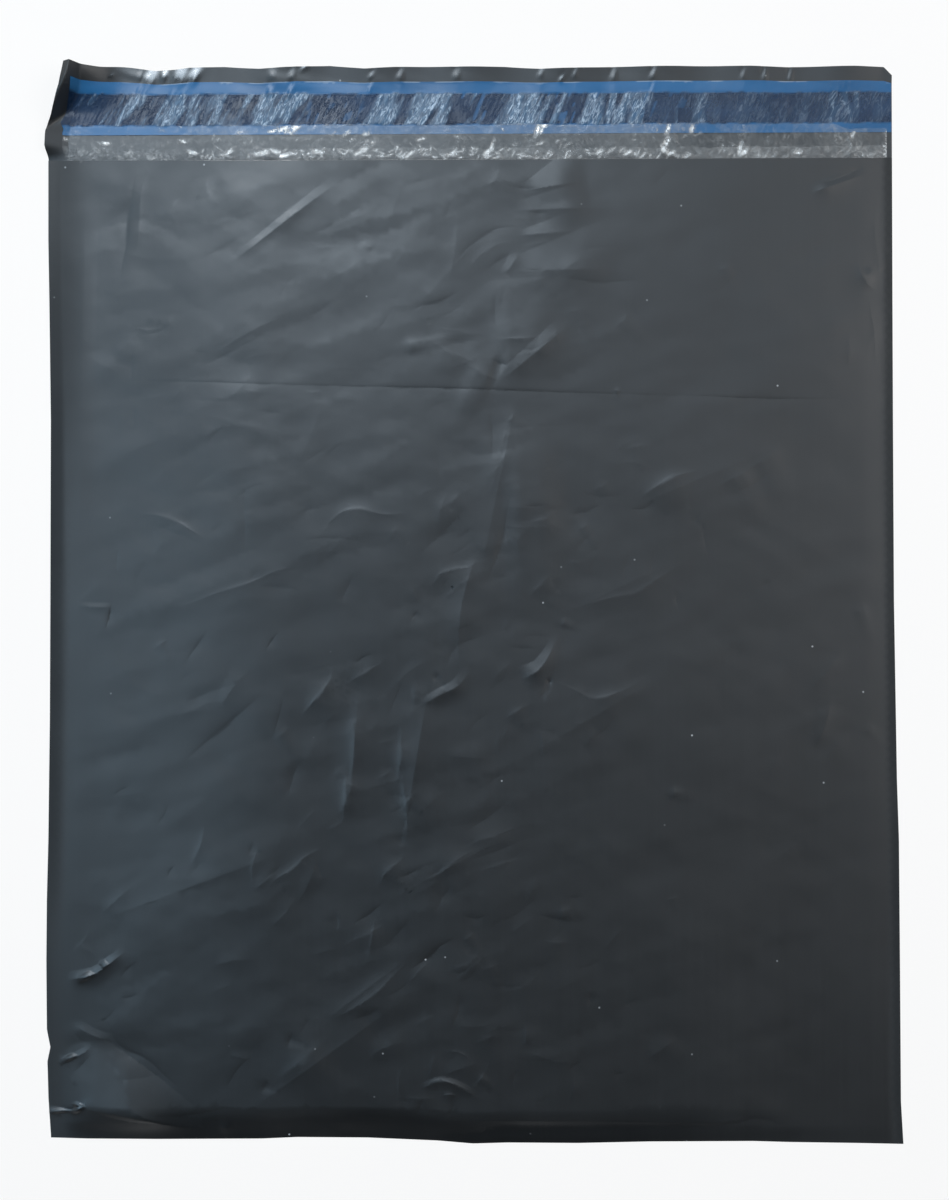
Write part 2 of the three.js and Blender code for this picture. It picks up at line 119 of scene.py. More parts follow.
PIXEL = 0.41  # millimetres to a pixel of a fold's width
UNIT_SLOPE = 0.08  # slope of the film beside a crease of strength 1
KEY_PLACE = (-260.0, 760.0, 1400.0)  # the main lamp
SPARK_PLACE = (-420.0, 820.0, 1300.0)  # the small lamp that the bright spots mirror


# Small helpers

def smooth(value, low, high):
    """0 below low, 1 above high, and a smooth rise between them."""
    t = np.clip((value - low) / (high - low), 0, 1)
    return t * t * (3 - 2 * t)


TABLE = 128  # cells after which random relief repeats


def cell(x, y, seed):
    """Random values from -1 to 1 at the corners of the unit cell around x, y, and the place in it."""
    table = np.random.RandomState(seed).rand(TABLE, TABLE) * 2 - 1
    xi = np.floor(x).astype(int)
    yi = np.floor(y).astype(int)
    corners = [table[(xi + i) % TABLE, (yi + j) % TABLE] for j in (0, 1) for i in (0, 1)]
    return corners, x - xi, y - yi


def ease(t):
    """0 at 0 and 1 at 1, level and without bend at both."""
    return t * t * t * (t * (t * 6 - 15) + 10)


def lump(x, y, seed):
    """Smooth random relief from -1 to 1 with features one unit across."""
    (a, b, c, d), fx, fy = cell(x, y, seed)
    ux, uy = ease(fx), ease(fy)
    return (a + (b - a) * ux) * (1 - uy) + (c + (d - c) * ux) * uy


def crumple(x, y, seed):
    """Random relief from -1 to 1 made of flat three-cornered facets one unit across."""
    bent_x = x + 0.35 * lump(x / 1.7, y / 1.7, seed + 1) + 0.5 * y
    bent_y = y + 0.35 * lump(x / 1.7, y / 1.7, seed + 2)
    (a, b, c, d), fx, fy = cell(bent_x, bent_y, seed)
    lower = a + (b - a) * fx + (c - a) * fy
    upper = d + (c - d) * (1 - fx) + (b - d) * (1 - fy)
    return np.where(fx + fy < 1, lower, upper)


def ridge(x, y, seed):
    """Random sharp crests, from 0 in the hollows to 1 on the crests."""
    return 1 - np.abs(lump(x, y, seed)) * 1.6


def spaced(low, high, step, dense=()):
    """Grid lines from low to high, closer together within each (from, to, step) of dense."""
    margin = 6  # over which the spacing changes
    fine = np.linspace(low, high, 4001)
    density = np.full(fine.size, 1 / step)
    for start, end, near in dense:
        soft = smooth(fine, start - margin, start) * (1 - smooth(fine, end, end + margin))
        density = np.maximum(density, soft / near)
    total = np.concatenate(([0], np.cumsum((density[1:] + density[:-1]) / 2 * (fine[1] - fine[0]))))
    return np.interp(np.linspace(0, total[-1], int(round(total[-1])) + 1), total, fine)


def along_path(points, pieces):
    """A smooth curve through the points."""
    p = np.asarray(points, float)
    if len(p) == 2:
        return p[0] + (p[1] - p[0]) * np.linspace(0, 1, pieces)[:, None]
    p = np.vstack((2 * p[0] - p[1], p, 2 * p[-1] - p[-2]))
    rows = []
    for t in np.linspace(0, len(p) - 3 - 1e-9, pieces):
        k = int(t)
        f = t - k
        a, b, c, d = p[k], p[k + 1], p[k + 2], p[k + 3]
        rows.append(0.5 * (2 * b + (c - a) * f + (2 * a - 5 * b + 4 * c - d) * f * f
                           + (3 * b - a - 3 * c + d) * f ** 3))
    return np.array(rows)


def mirror_lean(x, y, lamp):
    """The lean, across and along, with which film at x, y mirrors a lamp into the camera."""
    place = np.array([x, y, AT_PANEL])
    towards = np.array(lamp) - place
    back = np.array(CAMERA_PLACE) - place
    half = towards / np.linalg.norm(towards) + back / np.linalg.norm(back)
    return half[:2] / half[2]


def lean_of(height_at, x, y):
    """The lean, across and along, near x, y of a surface whose height at a place is height_at."""
    reach = 0.6
    level = height_at(x + np.array([reach, -reach, 0, 0]), y + np.array([0, 0, reach, -reach]))
    return np.array([level[1] - level[0], level[3] - level[2]]) / (2 * reach)


def crease_path(points, level, tilt=(0.0, 0.0)):
    """A crease's path in millimetres, what belongs to its steps, and the lean that is brightest there.

    Each step has its side that faces the light, its run and its length.
    """
    path = along_path(seen_at(points, level), 4 * len(points))
    run = path[1:] - path[:-1]
    length = np.hypot(run[:, 0], run[:, 1])
    side = np.column_stack((-run[:, 1], run[:, 0])) / length[:, None]
    lean = mirror_lean(*path.mean(0), KEY_PLACE) - np.array(tilt)
    if (side * length[:, None]).sum(0) @ lean < 0:
        side = -side
    return path, side, run, length, lean


LIT_FADE, DARK_FADE = 0.40, 0.28  # millimetres to a pixel of a crease's width
LEAST_FADE = 0.6


def crease_width(strength, width):
    """How far a crease fades out, in millimetres, from its width in pixels."""
    return max((LIT_FADE if strength > 0 else DARK_FADE) * width, LEAST_FADE)


def beside(x, y, path, side, run, length):
    """How far points lie from a path, and the share of its length there.

    The distance is below zero on the side that faces away from the light.
    """
    start = np.concatenate(([0], np.cumsum(length)))
    best = np.full(x.shape, 1e9)
    away = np.zeros(x.shape)
    place = np.zeros(x.shape)
    for k in range(len(run)):
        dx, dy = x - path[k, 0], y - path[k, 1]
        t = np.clip((dx * run[k, 0] + dy * run[k, 1]) / length[k] ** 2, 0, 1)
        ex, ey = dx - t * run[k, 0], dy - t * run[k, 1]
        gap = ex * ex + ey * ey
        closer = gap < best
        best = np.where(closer, gap, best)
        sign = np.where(ex * side[k, 0] + ey * side[k, 1] >= 0, 1.0, -1.0)
        away = np.where(closer, np.sqrt(gap) * sign, away)
        place = np.where(closer, (start[k] + t * length[k]) / start[-1], place)
    return away, place


def near_path(x, y, path, reach):
    """The numbers of the points in the box that stands off a path by reach."""
    low, high = path.min(0) - reach, path.max(0) + reach
    return np.flatnonzero((x > low[0]) & (x < high[0]) & (y > low[1]) & (y < high[1]))


def slope_of(strength, side, length, lean):
    """The slope of the film beside a crease of that strength."""
    most = min(0.4, max(0.1, math.hypot(*lean)))
    lit = max(0.5, abs((side * length[:, None]).sum(0) @ lean) / length.sum() / math.hypot(*lean))
    return most * math.tanh(strength * UNIT_SLOPE / 0.25) / lit


def crease_relief(x, y, creases, level, tilt=(0.0, 0.0)):
    """Height that the creases add at x, y, on film that leans by tilt.

    A crease is (strength, width, point, point, ...) in pixels of the photograph. The film beside it tilts
    towards the light if the strength is positive and away from it if the strength is negative. The tilt
    starts at a sharp line and fades out on the side of the light.
    """
    flat_x, flat_y = x.ravel(), y.ravel()
    height = np.zeros(flat_x.size)
    for strength, width, *points in creases:
        path, side, run, length, lean = crease_path(points, level, tilt)
        w = crease_width(strength, width)
        near = near_path(flat_x, flat_y, path, 16 * w)
        if not near.size:
            continue
        away, place = beside(flat_x[near], flat_y[near], path, side, run, length)
        window = smooth(place, 0.0, 0.45) * (1 - smooth(place, 0.55, 1.0))
        w = w * (0.4 + 0.6 * window)
        away = away + 0.5 * w
        fade = np.where(away >= 0, np.exp(-np.maximum(0, away) / w), np.exp(np.minimum(0, away) / (3.5 * w)))
        slope = slope_of(strength, side, length, lean)
        height[near] += slope * w * fade * window * (1 - smooth(np.abs(away), 4 * w, 8 * w))
    return height.reshape(x.shape)


GLOSS_FROM = 3  # strength from which a fold is glossy


def fold_relief(x, y, folds, level):
    """Height that the folds add at x, y, and how glossy the strongest of them are.

    A fold is (strength, width at its first point, width at its last point, power, point, point, ...) in
    pixels of the photograph. The film slopes from the line of the points towards the light over that width,
    and falls off gently behind the line. With a power of 1 the slope is even and ends at an edge, and with 2
    it fades out.
    """
    flat_x, flat_y = x.ravel(), y.ravel()
    height = np.zeros(flat_x.size)
    gloss = np.zeros(flat_x.size)
    for strength, first, last, power, *points in folds:
        path, side, run, length, lean = crease_path(points, level)
        near = near_path(flat_x, flat_y, path, 2.2 * PIXEL * max(first, last))
        if not near.size:
            continue
        away, place = beside(flat_x[near], flat_y[near], path, side, run, length)
        window = smooth(place, 0.0, 0.3) * (1 - smooth(place, 0.5, 1.0))
        w = PIXEL * (first + (last - first) * place)
        fall = np.where(away >= 0, np.clip(1 - away / w, 0, 1) ** power / power,
                        np.clip(1 + away / (2 * w), 0, 1) ** 2 / power)
        height[near] += slope_of(strength, side, length, lean) * w * fall * window
        if strength > GLOSS_FROM:
            lit = smooth(away, -0.4, 0.2) * (1 - smooth(away, w - 0.3, w + 0.3))
            gloss[near] = np.maximum(gloss[near], min(1, strength - GLOSS_FROM) * window * lit)
    return height.reshape(x.shape), gloss.reshape(x.shape)


def fold_rows(folds, level, offsets, step):
    """Points in rows along the folds, each row at (share of the width, millimetres more) from the line."""
    rows = []
    for share, more in offsets:
        for _, first, last, _, *points in folds:
            path, side, _, length, _ = crease_path(points, level)
            t = np.linspace(0, 1, max(3, int(length.sum() / step)))
            place = np.concatenate(([0], np.cumsum(length))) / length.sum()
            line = np.column_stack([np.interp(t, place, path[:, k]) for k in (0, 1)])
            out = np.column_stack([np.interp(t, (place[1:] + place[:-1]) / 2, side[:, k]) for k in (0, 1)])
            rows.append(line + out * (share * PIXEL * (first + (last - first) * t) + more)[:, None])
    return np.vstack(rows)


def crease_rows(creases, level, shares, step):
    """Points in rows along the creases, each row at a share of the width from the sharp line."""
    rows = []
    for share in shares:
        for strength, width, *points in creases:
            path, side, _, length, _ = crease_path(points, level)
            w = crease_width(strength, width)
            steps = max(2, int(length.sum() / (step if abs(share) < 1 else 1.6 * step)))
            t = np.linspace(0, len(path) - 1, steps)
            line = np.column_stack([np.interp(t, np.arange(len(path)), path[:, k]) for k in (0, 1)])
            out = np.column_stack([np.interp(t, np.arange(len(side)) + 0.5, side[:, k]) for k in (0, 1)])
            rows.append(line + out * (share - 0.5) * w)
    return np.vstack(rows)


SPOT_PIXEL = 0.45  # millimetres to a pixel of a bright spot's size
SPOT_RISE = 0.08  # height of its middle
SPOT_LENGTH = 8  # half length from which it leans less along its length


def facets(x, y, spots, level, height_at=None):
    """Height of bright spots, and how glossy they are, on film of that height or else on level film.

    A spot is (across, down, half length, half width, turn in degrees, gloss) in pixels of the photograph. It
    is a small flat that mirrors the spark lamp.
    """
    height = np.zeros(x.shape)
    bright = np.zeros(x.shape)
    for across, down, half_length, half_width, degrees, gloss in spots:
        cx, cy = seen_at([(across, down)], level)[0]
        lean = mirror_lean(cx, cy, SPARK_PLACE) - (lean_of(height_at, cx, cy) if height_at else 0)
        turn = math.radians(degrees)
        dx, dy = x - cx, y - cy
        along = math.cos(turn) * dx + math.sin(turn) * dy
        aside = math.cos(turn) * dy - math.sin(turn) * dx
        lean_along = (math.cos(turn) * lean[0] + math.sin(turn) * lean[1]) * min(1, SPOT_LENGTH / half_length)
        lean_aside = math.cos(turn) * lean[1] - math.sin(turn) * lean[0]
        window = np.exp(-np.abs(along / (half_length * SPOT_PIXEL)) ** 3
                        - np.abs(aside / (half_width * SPOT_PIXEL)) ** 3)
        height += (SPOT_RISE - lean_along * along - lean_aside * aside) * window
        bright = np.maximum(bright, gloss * window)
    return height, bright


def spot_rows(spots, level):
    """Points in close rows over the bright spots."""
    step = 0.42
    rows = []
    for across, down, half_length, half_width, degrees, _ in spots:
        turn = math.radians(degrees)
        along, aside = np.meshgrid(np.arange(-0.6 * half_length, 0.6 * half_length, step),
                                   np.arange(-0.7 * half_width, 0.7 * half_width, step))
        spin = np.column_stack((math.cos(turn) * along.ravel() - math.sin(turn) * aside.ravel(),
                                math.sin(turn) * along.ravel() + math.cos(turn) * aside.ravel()))
        rows.append(seen_at([(across, down)], level)[0] + spin)
    return np.vstack(rows)


def make_piece(name, points, faces, material, sharp_from=None):
    """A mesh object from points in millimetres. Faces from sharp_from on have sharp edges."""
    mesh = bpy.data.meshes.new(name)
    mesh.from_pydata((np.asarray(points, float) / 1000).tolist(), [], faces)
    mesh.polygons.foreach_set("use_smooth", np.ones(len(mesh.polygons), bool))
    if sharp_from is not None:
        edges = {tuple(sorted(e)) for p in mesh.polygons[sharp_from:] for e in p.edge_keys}
        marks = [tuple(sorted(e.vertices)) in edges for e in mesh.edges]
        mesh.attributes.new("sharp_edge", "BOOLEAN", "EDGE").data.foreach_set("value", marks)
    mesh.materials.append(material)
    piece = bpy.data.objects.new(name, mesh)
    bpy.context.scene.collection.objects.link(piece)
    return piece


def mark(piece, name, values):
    """A value at each point of a piece, for its material."""
    layer = piece.data.attributes.new(name, "FLOAT", "POINT")
    layer.data.foreach_set("value", np.asarray(values, np.float32).ravel())


def grid_faces(rows, columns, first=0):
    """The quads of a grid whose points are stored row by row."""
    k = first + (np.arange(rows - 1)[:, None] * columns + np.arange(columns - 1)[None, :]).ravel()
    return np.column_stack((k, k + 1, k + columns + 1, k + columns)).tolist()


def band_faces(lower, upper):
    """The quads between two rows of points, given by their numbers."""
    return [[lower[k], lower[k + 1], upper[k + 1], upper[k]] for k in range(len(lower) - 1)]


# Outline read off the photograph

LEFT_EDGE = ((48.5, 160), (48.5, 240), (49.5, 300), (51, 420), (50.5, 600), (50, 720), (48.5, 840), (47, 900),
             (46.5, 960), (47, 1030), (50.5, 1048), (47.5, 1062), (48.5, 1100), (51, 1138))
RIGHT_EDGE = ((892, 157), (892.5, 300), (893, 420), (894, 600), (895, 660), (897, 780), (899, 840),
              (900, 960), (901, 1100), (903.5, 1143))
BOTTOM_EDGE = ((51, 1137.5), (85, 1138.5), (155, 1139), (260, 1138.5), (295, 1137), (365, 1137.5),
               (400, 1139), (435, 1140.5), (470, 1143.5), (505, 1142.5), (575, 1143), (645, 1141.5),
               (750, 1141), (785, 1142), (855, 1143), (903, 1144))
TOP_EDGE = ((62, 58), (85, 62), (120, 66), (155, 71), (175, 70), (190, 68), (225, 67), (260, 69), (295, 67),
            (330, 66), (365, 69), (400, 67), (505, 67), (540, 69), (575, 68), (610, 67), (680, 66), (750, 66),
            (785, 67), (855, 66), (893, 67))


def edge_shift(edge, level, axis, straight):
    """How far the outline stands off its straight line, as places along it and shifts."""
    p = seen_at(edge, level)
    other = p[:, 1 - axis]
    order = np.argsort(other)
    return other[order], p[order, axis] - straight


LEFT_SHIFT = edge_shift(LEFT_EDGE, AT_EDGE, 0, LEFT)
RIGHT_SHIFT = edge_shift(RIGHT_EDGE, AT_EDGE, 0, RIGHT)
BOTTOM_SHIFT = edge_shift(BOTTOM_EDGE, AT_EDGE, 1, BOTTOM)
TOP_SHIFT = edge_shift(TOP_EDGE, AT_FLAP, 1, TOP)


def drift(x, y):
    """The point of the real outline's skew that stands for a point of the straight envelope."""
    share = (x - LEFT) / (RIGHT - LEFT)
    left = np.interp(y, *LEFT_SHIFT)
    right = np.interp(y, *RIGHT_SHIFT)
    foot = np.interp(x, *BOTTOM_SHIFT) * (1 - smooth(y, BOTTOM, BOTTOM + 90))
    return x + left * (1 - share) + right * share, y + foot


# Front panel. Its creases and folds are as crease_relief() and fold_relief() take them

PANEL_CREASES = (
    # Upper left
    (-2.5, 8, (137, 165), (133, 190), (129, 215), (127, 240), (122, 265), (120, 288)),
    (1.5, 5, (150, 165), (142, 190), (141, 215), (138, 240), (133, 265)),
    (-1, 6, (205, 170), (185, 185), (172, 205), (165, 225)),
    (0.7, 10, (245, 165), (200, 195)),
    (-1, 10, (255, 228), (190, 262)),
    (0.6, 7, (265, 205), (205, 225)),
    (1, 4, (303, 236), (320, 246), (338, 245)),
    (1, 4, (360, 240), (376, 250)),
    (1.5, 5, (205, 355), (225, 345), (245, 332), (265, 323), (290, 312)),
    (-1, 8, (190, 370), (215, 358), (240, 345), (270, 332)),
    (2, 2, (128, 331), (136, 327), (150, 328), (160, 325)),
    (-1.5, 3, (140, 334), (160, 329), (170, 318)),
    (1, 8, (85, 352), (120, 370)),
    (2, 2, (82, 336), (87, 341)),
    (-1, 4, (132, 345), (131, 385)),
    (-1, 3, (135, 400), (132, 430)),
    (-1, 4, (61, 165), (61, 300), (60, 430), (60, 560)),
    (0.8, 2.5, (69, 280), (69, 380), (68, 480)),
    (-0.8, 3, (78, 165), (77, 300), (76, 500)),
    # Fold across the panel
    (-1.6, 2.2, (60, 378), (150, 380), (245, 383), (345, 386), (460, 388), (612, 393), (760, 397),
     (890, 399)),
    (-1.8, 2.6, (290, 384), (345, 386), (460, 388), (570, 392), (660, 394)),
    (-1.4, 2, (660, 393), (712, 395), (760, 397), (870, 398)),
    (-1.6, 2.2, (110, 379), (200, 381), (270, 384), (345, 386)),
    (2.5, 2, (613, 389), (621, 389)),
    (1, 4, (240, 388), (265, 392)),
    (1, 3, (300, 391), (325, 391)),
    (-0.6, 6, (180, 398), (250, 400)),
    (0.8, 8, (200, 412), (280, 430)),
    (-1, 6, (255, 409), (288, 413)),
    # Middle of the upper part
    (-2, 7, (405, 318), (420, 305), (440, 300), (455, 292), (465, 285)),
    (-2, 7, (525, 226), (505, 226), (490, 230), (475, 240), (462, 252), (455, 268)),
    (1, 6, (458, 205), (447, 290)),
    (1, 6, (520, 240), (495, 243), (480, 253), (465, 270)),
    (1, 8, (405, 335), (410, 360)),
    (1, 6, (425, 335), (450, 350), (480, 362)),
    (-1, 10, (440, 340), (480, 338)),
    (1.5, 6, (500, 165), (492, 180), (483, 187)),
    (-1.5, 3, (500, 184), (528, 188), (552, 185)),
    (-1.5, 4, (525, 212), (550, 212)),
    (-1.5, 6, (517, 250), (500, 258), (485, 270)),
    (-2, 2, (521, 270), (550, 270)),
    (-1, 8, (555, 275), (600, 280), (645, 277)),
    (-1, 5, (497, 285), (493, 310), (497, 335)),
    (2, 2, (498, 338), (525, 338), (545, 337)),
    (-2, 7, (490, 358), (510, 365)),
    (-1, 6, (520, 350), (545, 345)),
    (1, 10, (465, 360), (505, 380)),
    # Middle below the fold
    (-0.8, 4, (490, 400), (492, 470)),
    (1, 4, (515, 410), (505, 425)),
    (-1.2, 8, (510, 490), (505, 515), (500, 540), (490, 570), (480, 590)),
    (-2, 3, (520, 506), (553, 505)),
    (1.3, 4, (527, 522), (545, 517), (557, 508)),
    (-1, 7, (565, 515), (590, 508), (605, 500)),
    (0.8, 5, (590, 490), (612, 478)),
    (0.7, 5, (575, 530), (590, 520)),
    # Right
    (0.8, 8, (740, 470), (790, 440)),
    (2, 6, (635, 503), (645, 492), (655, 485), (670, 476), (690, 470), (705, 467)),
    (-1.2, 4, (625, 508), (645, 507), (658, 495)),
    (1, 7, (715, 485), (760, 460)),
    (-0.9, 4, (728, 495), (745, 487), (760, 478), (780, 465)),
    (1.2, 6, (560, 615), (580, 605), (620, 593), (635, 590), (660, 575), (680, 562), (695, 552)),
    (1, 6, (612, 328), (622, 318), (632, 308)),
    (0.8, 5, (715, 270), (735, 260)),
    (-2, 3, (812, 182), (835, 177), (872, 161)),
    (-1, 3, (850, 168), (868, 163)),
    (1.8, 2.5, (877, 195), (876, 235), (880, 260), (882, 285)),
    (1.6, 6, (856, 258), (865, 280), (882, 293)),
    (1.8, 2.5, (869, 290), (875, 330), (878, 372)),
    (0.6, 5, (850, 325), (848, 370)),
    (0.7, 8, (800, 700), (850, 640)),
    (0.6, 6, (850, 612), (875, 603)),
    (0.8, 4, (862, 735), (880, 722)),
    # Middle left
    (3, 6, (128, 513), (150, 512), (172, 517), (190, 527), (212, 540)),
    (-1, 8, (140, 520), (175, 530), (205, 545)),
    (-0.6, 6, (247, 460), (247, 570)),
    (2.2, 5, (318, 538), (332, 518), (346, 509), (362, 507), (385, 513), (415, 510)),
    (-1.0, 7, (300, 540), (330, 536), (362, 540)),
    (1.8, 4, (170, 610), (180, 605), (200, 598), (220, 590), (240, 584), (258, 578), (275, 570), (300, 563)),
    (-0.8, 8, (255, 585), (280, 585), (305, 590)),
    (1.2, 3, (150, 650), (160, 642), (168, 639)),
    (-3, 2, (111, 600), (107, 615), (104, 627), (98, 630)),
    (-1, 2, (117, 545), (115, 575)),
    (-1.5, 2, (280, 630), (272, 640), (265, 652)),
    (-0.8, 10, (270, 685), (170, 770)),
    (1.8, 6, (298, 716), (308, 705), (318, 693), (328, 680), (332, 665)),
    (0.7, 6, (270, 740), (290, 725)),
    (1.5, 4, (343, 685), (355, 677), (370, 668), (385, 660)),
    (-1.5, 3, (350, 668), (362, 657), (375, 653)),
    (0.8, 6, (350, 705), (352, 740), (350, 790)),
    (1, 6, (400, 720), (398, 760), (395, 790)),
    (1.8, 5, (423, 588), (433, 582), (440, 572), (455, 567), (470, 565), (480, 555)),
    (-1, 6, (430, 680), (440, 672)),
    (-1.5, 3, (410, 620), (418, 610)),
    (-1, 14, (410, 560), (470, 500)),
    # Middle
    (1, 5, (525, 600), (535, 588), (548, 575), (555, 572)),
    (1, 3, (560, 630), (565, 615)),
    (-1.5, 5, (545, 678), (555, 682)),
    (1, 5, (550, 675), (560, 682), (575, 688), (590, 695), (605, 695), (630, 685), (645, 673)),
    (-1, 4, (505, 646), (540, 648)),
    (1.2, 4, (503, 720), (515, 710), (530, 703)),
    # Lower
    (1, 6, (345, 765), (343, 800), (340, 830)),
    (0.8, 6, (400, 765), (405, 830), (400, 850)),
    (1.5, 5, (265, 890), (275, 878), (290, 868), (305, 855), (325, 845)),
    (-0.8, 4, (284, 862), (262, 880)),
    (1, 6, (375, 890), (385, 870), (398, 860), (405, 850)),
    (-1, 5, (390, 880), (410, 872), (425, 868)),
    (1, 6, (420, 885), (440, 870), (460, 855), (480, 845)),
    (-0.8, 5, (425, 878), (448, 862)),
    (-1.2, 5, (350, 925), (370, 912), (385, 900)),
    (0.7, 6, (340, 945), (370, 930), (390, 920)),
    (1.3, 6, (325, 1021), (350, 1008), (375, 990), (395, 971), (414, 953)),
    (-1.8, 6, (405, 972), (425, 958), (440, 945), (458, 935)),
    (-1, 8, (385, 1005), (350, 1020)),
    (0.7, 6, (445, 970), (470, 960), (480, 945)),
    (-1, 2, (445, 972), (460, 972), (475, 963)),
    (0.8, 15, (270, 1080), (330, 1030)),
    (1, 5, (460, 850), (480, 838), (500, 832), (520, 823)),
    (-0.8, 5, (470, 860), (500, 848), (525, 840)),
    (0.8, 5, (475, 872), (500, 862), (525, 857)),
    (-1, 4, (460, 915), (480, 917), (487, 910)),
    (0.8, 4, (460, 942), (475, 930)),
    (0.8, 4, (480, 970), (500, 962)),
    (-0.6, 8, (490, 985), (530, 985)),
    (-0.7, 5, (535, 913), (575, 922)),
    (0.6, 5, (540, 940), (575, 942)),
    (0.6, 5, (470, 1045), (500, 1030)),
    (0.8, 4, (475, 1085), (485, 1072)),
    # Lower left corner
    (1, 3, (70, 940), (85, 950), (98, 960)),
    (-1, 6, (98, 1006), (108, 1027), (119, 1047), (144, 1058), (164, 1076), (189, 1096)),
    (-1.5, 5, (68, 1030), (78, 1040), (90, 1045)),
    (-1.5, 4, (65, 1080), (80, 1065), (90, 1055)),
    (2, 2, (68, 1085), (73, 1080)),
    (-2, 3, (60, 1110), (90, 1112), (110, 1118), (130, 1122), (160, 1125), (190, 1132)),
    (1, 2, (140, 1120), (165, 1126), (190, 1130)),
    (-1.2, 3, (140, 1116), (170, 1118), (200, 1114), (220, 1110), (235, 1103)),
    (1.5, 5, (215, 1127), (235, 1128)),
    # Bottom
    (1.2, 2, (443, 1053), (455, 1051), (465, 1055), (472, 1063)),
    (2, 2.5, (423, 1088), (432, 1081), (445, 1080), (458, 1086), (472, 1095), (478, 1100)),
    (3, 2, (440, 1096), (450, 1094), (458, 1097)),
    (0.8, 4, (400, 1097), (440, 1098)),
    (-0.8, 10, (500, 1120), (720, 1120)),
    (1, 2, (700, 1128), (730, 1122), (760, 1121)),
    (-2, 6, (670, 1136), (720, 1128), (760, 1122), (790, 1130), (800, 1137)),
)

PANEL_FOLDS = (
    # Upper left
    (3.15, 5, 9, 1, (226, 267), (262, 240), (292, 217), (346, 177)),
    (2.2, 4, 5, 1, (72, 605), (92, 607), (114, 607)),
    (0.35, 40, 30, 2, (195, 354), (300, 306)),
    (0.3, 30, 40, 2, (300, 300), (400, 236)),
    (0.3, 40, 50, 2, (80, 470), (260, 400)),
    (0.35, 14, 12, 1, (84, 150), (81, 300), (78, 480), (75, 660)),
    (1.0, 10, 8, 1, (810, 192), (872, 170)),
    # Column of small facets in the middle
    (1.1, 4, 46, 1, (520, 191), (590, 181)),
    (0.7, 8, 34, 1, (510, 211), (612, 207)),
    (0.9, 4, 22, 1, (516, 236), (578, 231)),
    (0.55, 12, 56, 1, (506, 272), (622, 268)),
    (1.2, 5, 10, 1, (502, 275), (510, 268), (520, 252)),
    (0.4, 60, 60, 1, (486, 341), (525, 338), (572, 335)),
    (1.5, 8, 14, 1, (500, 382), (576, 320)),
    (0.35, 80, 80, 1, (500, 508), (535, 507), (574, 503)),
    (0.5, 30, 40, 2, (516, 400), (474, 606)),
    (0.4, 30, 20, 2, (478, 240), (404, 322)),
    # Band that winds down the middle
    (0.7, 20, 24, 2, (478, 548), (461, 610), (458, 680)),
    (1.5, 6, 9, 1, (420, 707), (440, 695), (458, 686), (472, 668)),
    (0.6, 30, 24, 2, (428, 690), (402, 850)),
    (0.45, 24, 24, 2, (360, 680), (346, 840)),
    (1.7, 14, 5, 1, (520, 680), (538, 671), (549, 656), (560, 632)),
    # Lower part
    (0.45, 70, 60, 2, (80, 928), (300, 846)),
    (0.5, 50, 50, 2, (245, 1114), (410, 996)),
    (0.5, 16, 10, 2, (322, 1023), (418, 950)),
    (0.35, 40, 30, 2, (380, 905), (530, 824)),
    (0.3, 60, 40, 2, (520, 760), (690, 660)),
    (0.3, 50, 40, 2, (555, 617), (705, 548)),
    (0.35, 40, 30, 2, (630, 508), (800, 436)),
    # Lower left corner
    (3.0, 9, 6, 1, (62, 983), (90, 977), (104, 968), (126, 951)),
    (1.5, 95, 14, 1, (44, 1106), (90, 1112), (140, 1121), (210, 1137)),
    (2.4, 8, 6, 1, (70, 1027), (92, 1038), (114, 1043)),
    (3.0, 5, 5, 1, (64, 1063), (80, 1056), (92, 1047)),
    (-1.0, 22, 14, 2, (60, 1050), (74, 1046), (96, 1042)),
    # Bottom
    (-2.2, 24, 18, 1, (430, 1146), (600, 1145), (820, 1145)),
    (1.4, 5, 5, 1, (418, 1091), (440, 1082), (462, 1088), (482, 1103)),
)

# Bright spots of the panel's lower left corner, as facets() takes them
PANEL_SPOTS = (
    (93, 972, 12, 3.4, 29, 0.5), (108, 961, 8, 3.4, 40, 0.45), (83, 1103, 9, 4.0, 36, 0.9),
    (66, 1109, 12, 2.4, 8, 0.5), (76, 1054, 10, 2.4, 28, 0.15),
)

LEFT_REACH = 100.0  # distance from the left edge over which the panel swells
RIGHT_REACH = 200.0  # the same from the right edge
FOOT_REACH = 300.0  # the same from the bottom fold
FOOT_ROLL = 14.0  # height of the steep strip along the bottom fold
FOOT_SHARE = 0.58  # share of the swelling that this strip takes, away from the right


def panel_rise(x, y):
    """Height of the front panel above its edges, without its creases."""
    side = np.maximum(0, np.minimum(x - LEFT, RIGHT - x))
    foot = np.maximum(0, y - BOTTOM)
    across = smooth(x - LEFT, 0, LEFT_REACH) * (1 - (1 - np.clip((RIGHT - x) / RIGHT_REACH, 0, 1)) ** 1.35)
    steep = FOOT_SHARE * (1 - smooth(x, 80, 140))
    rolled = 1 - (1 - np.minimum(1, foot / FOOT_ROLL)) ** 1.25
    gentle = 1 - (1 - np.minimum(1, foot / FOOT_REACH)) ** 2
    up = steep * rolled + (1 - steep) * gentle
    skirt = 0.2 * smooth(x - LEFT, 0, 8) * smooth(side, 0, 14) * smooth(foot, 0, 8)
    roll = 0.8 * np.exp(-((x - 112) / 26) ** 2) * smooth(foot, 0, 7) * (1 - smooth(foot, 9, 70))
    return skirt + LOFT * across * up + roll


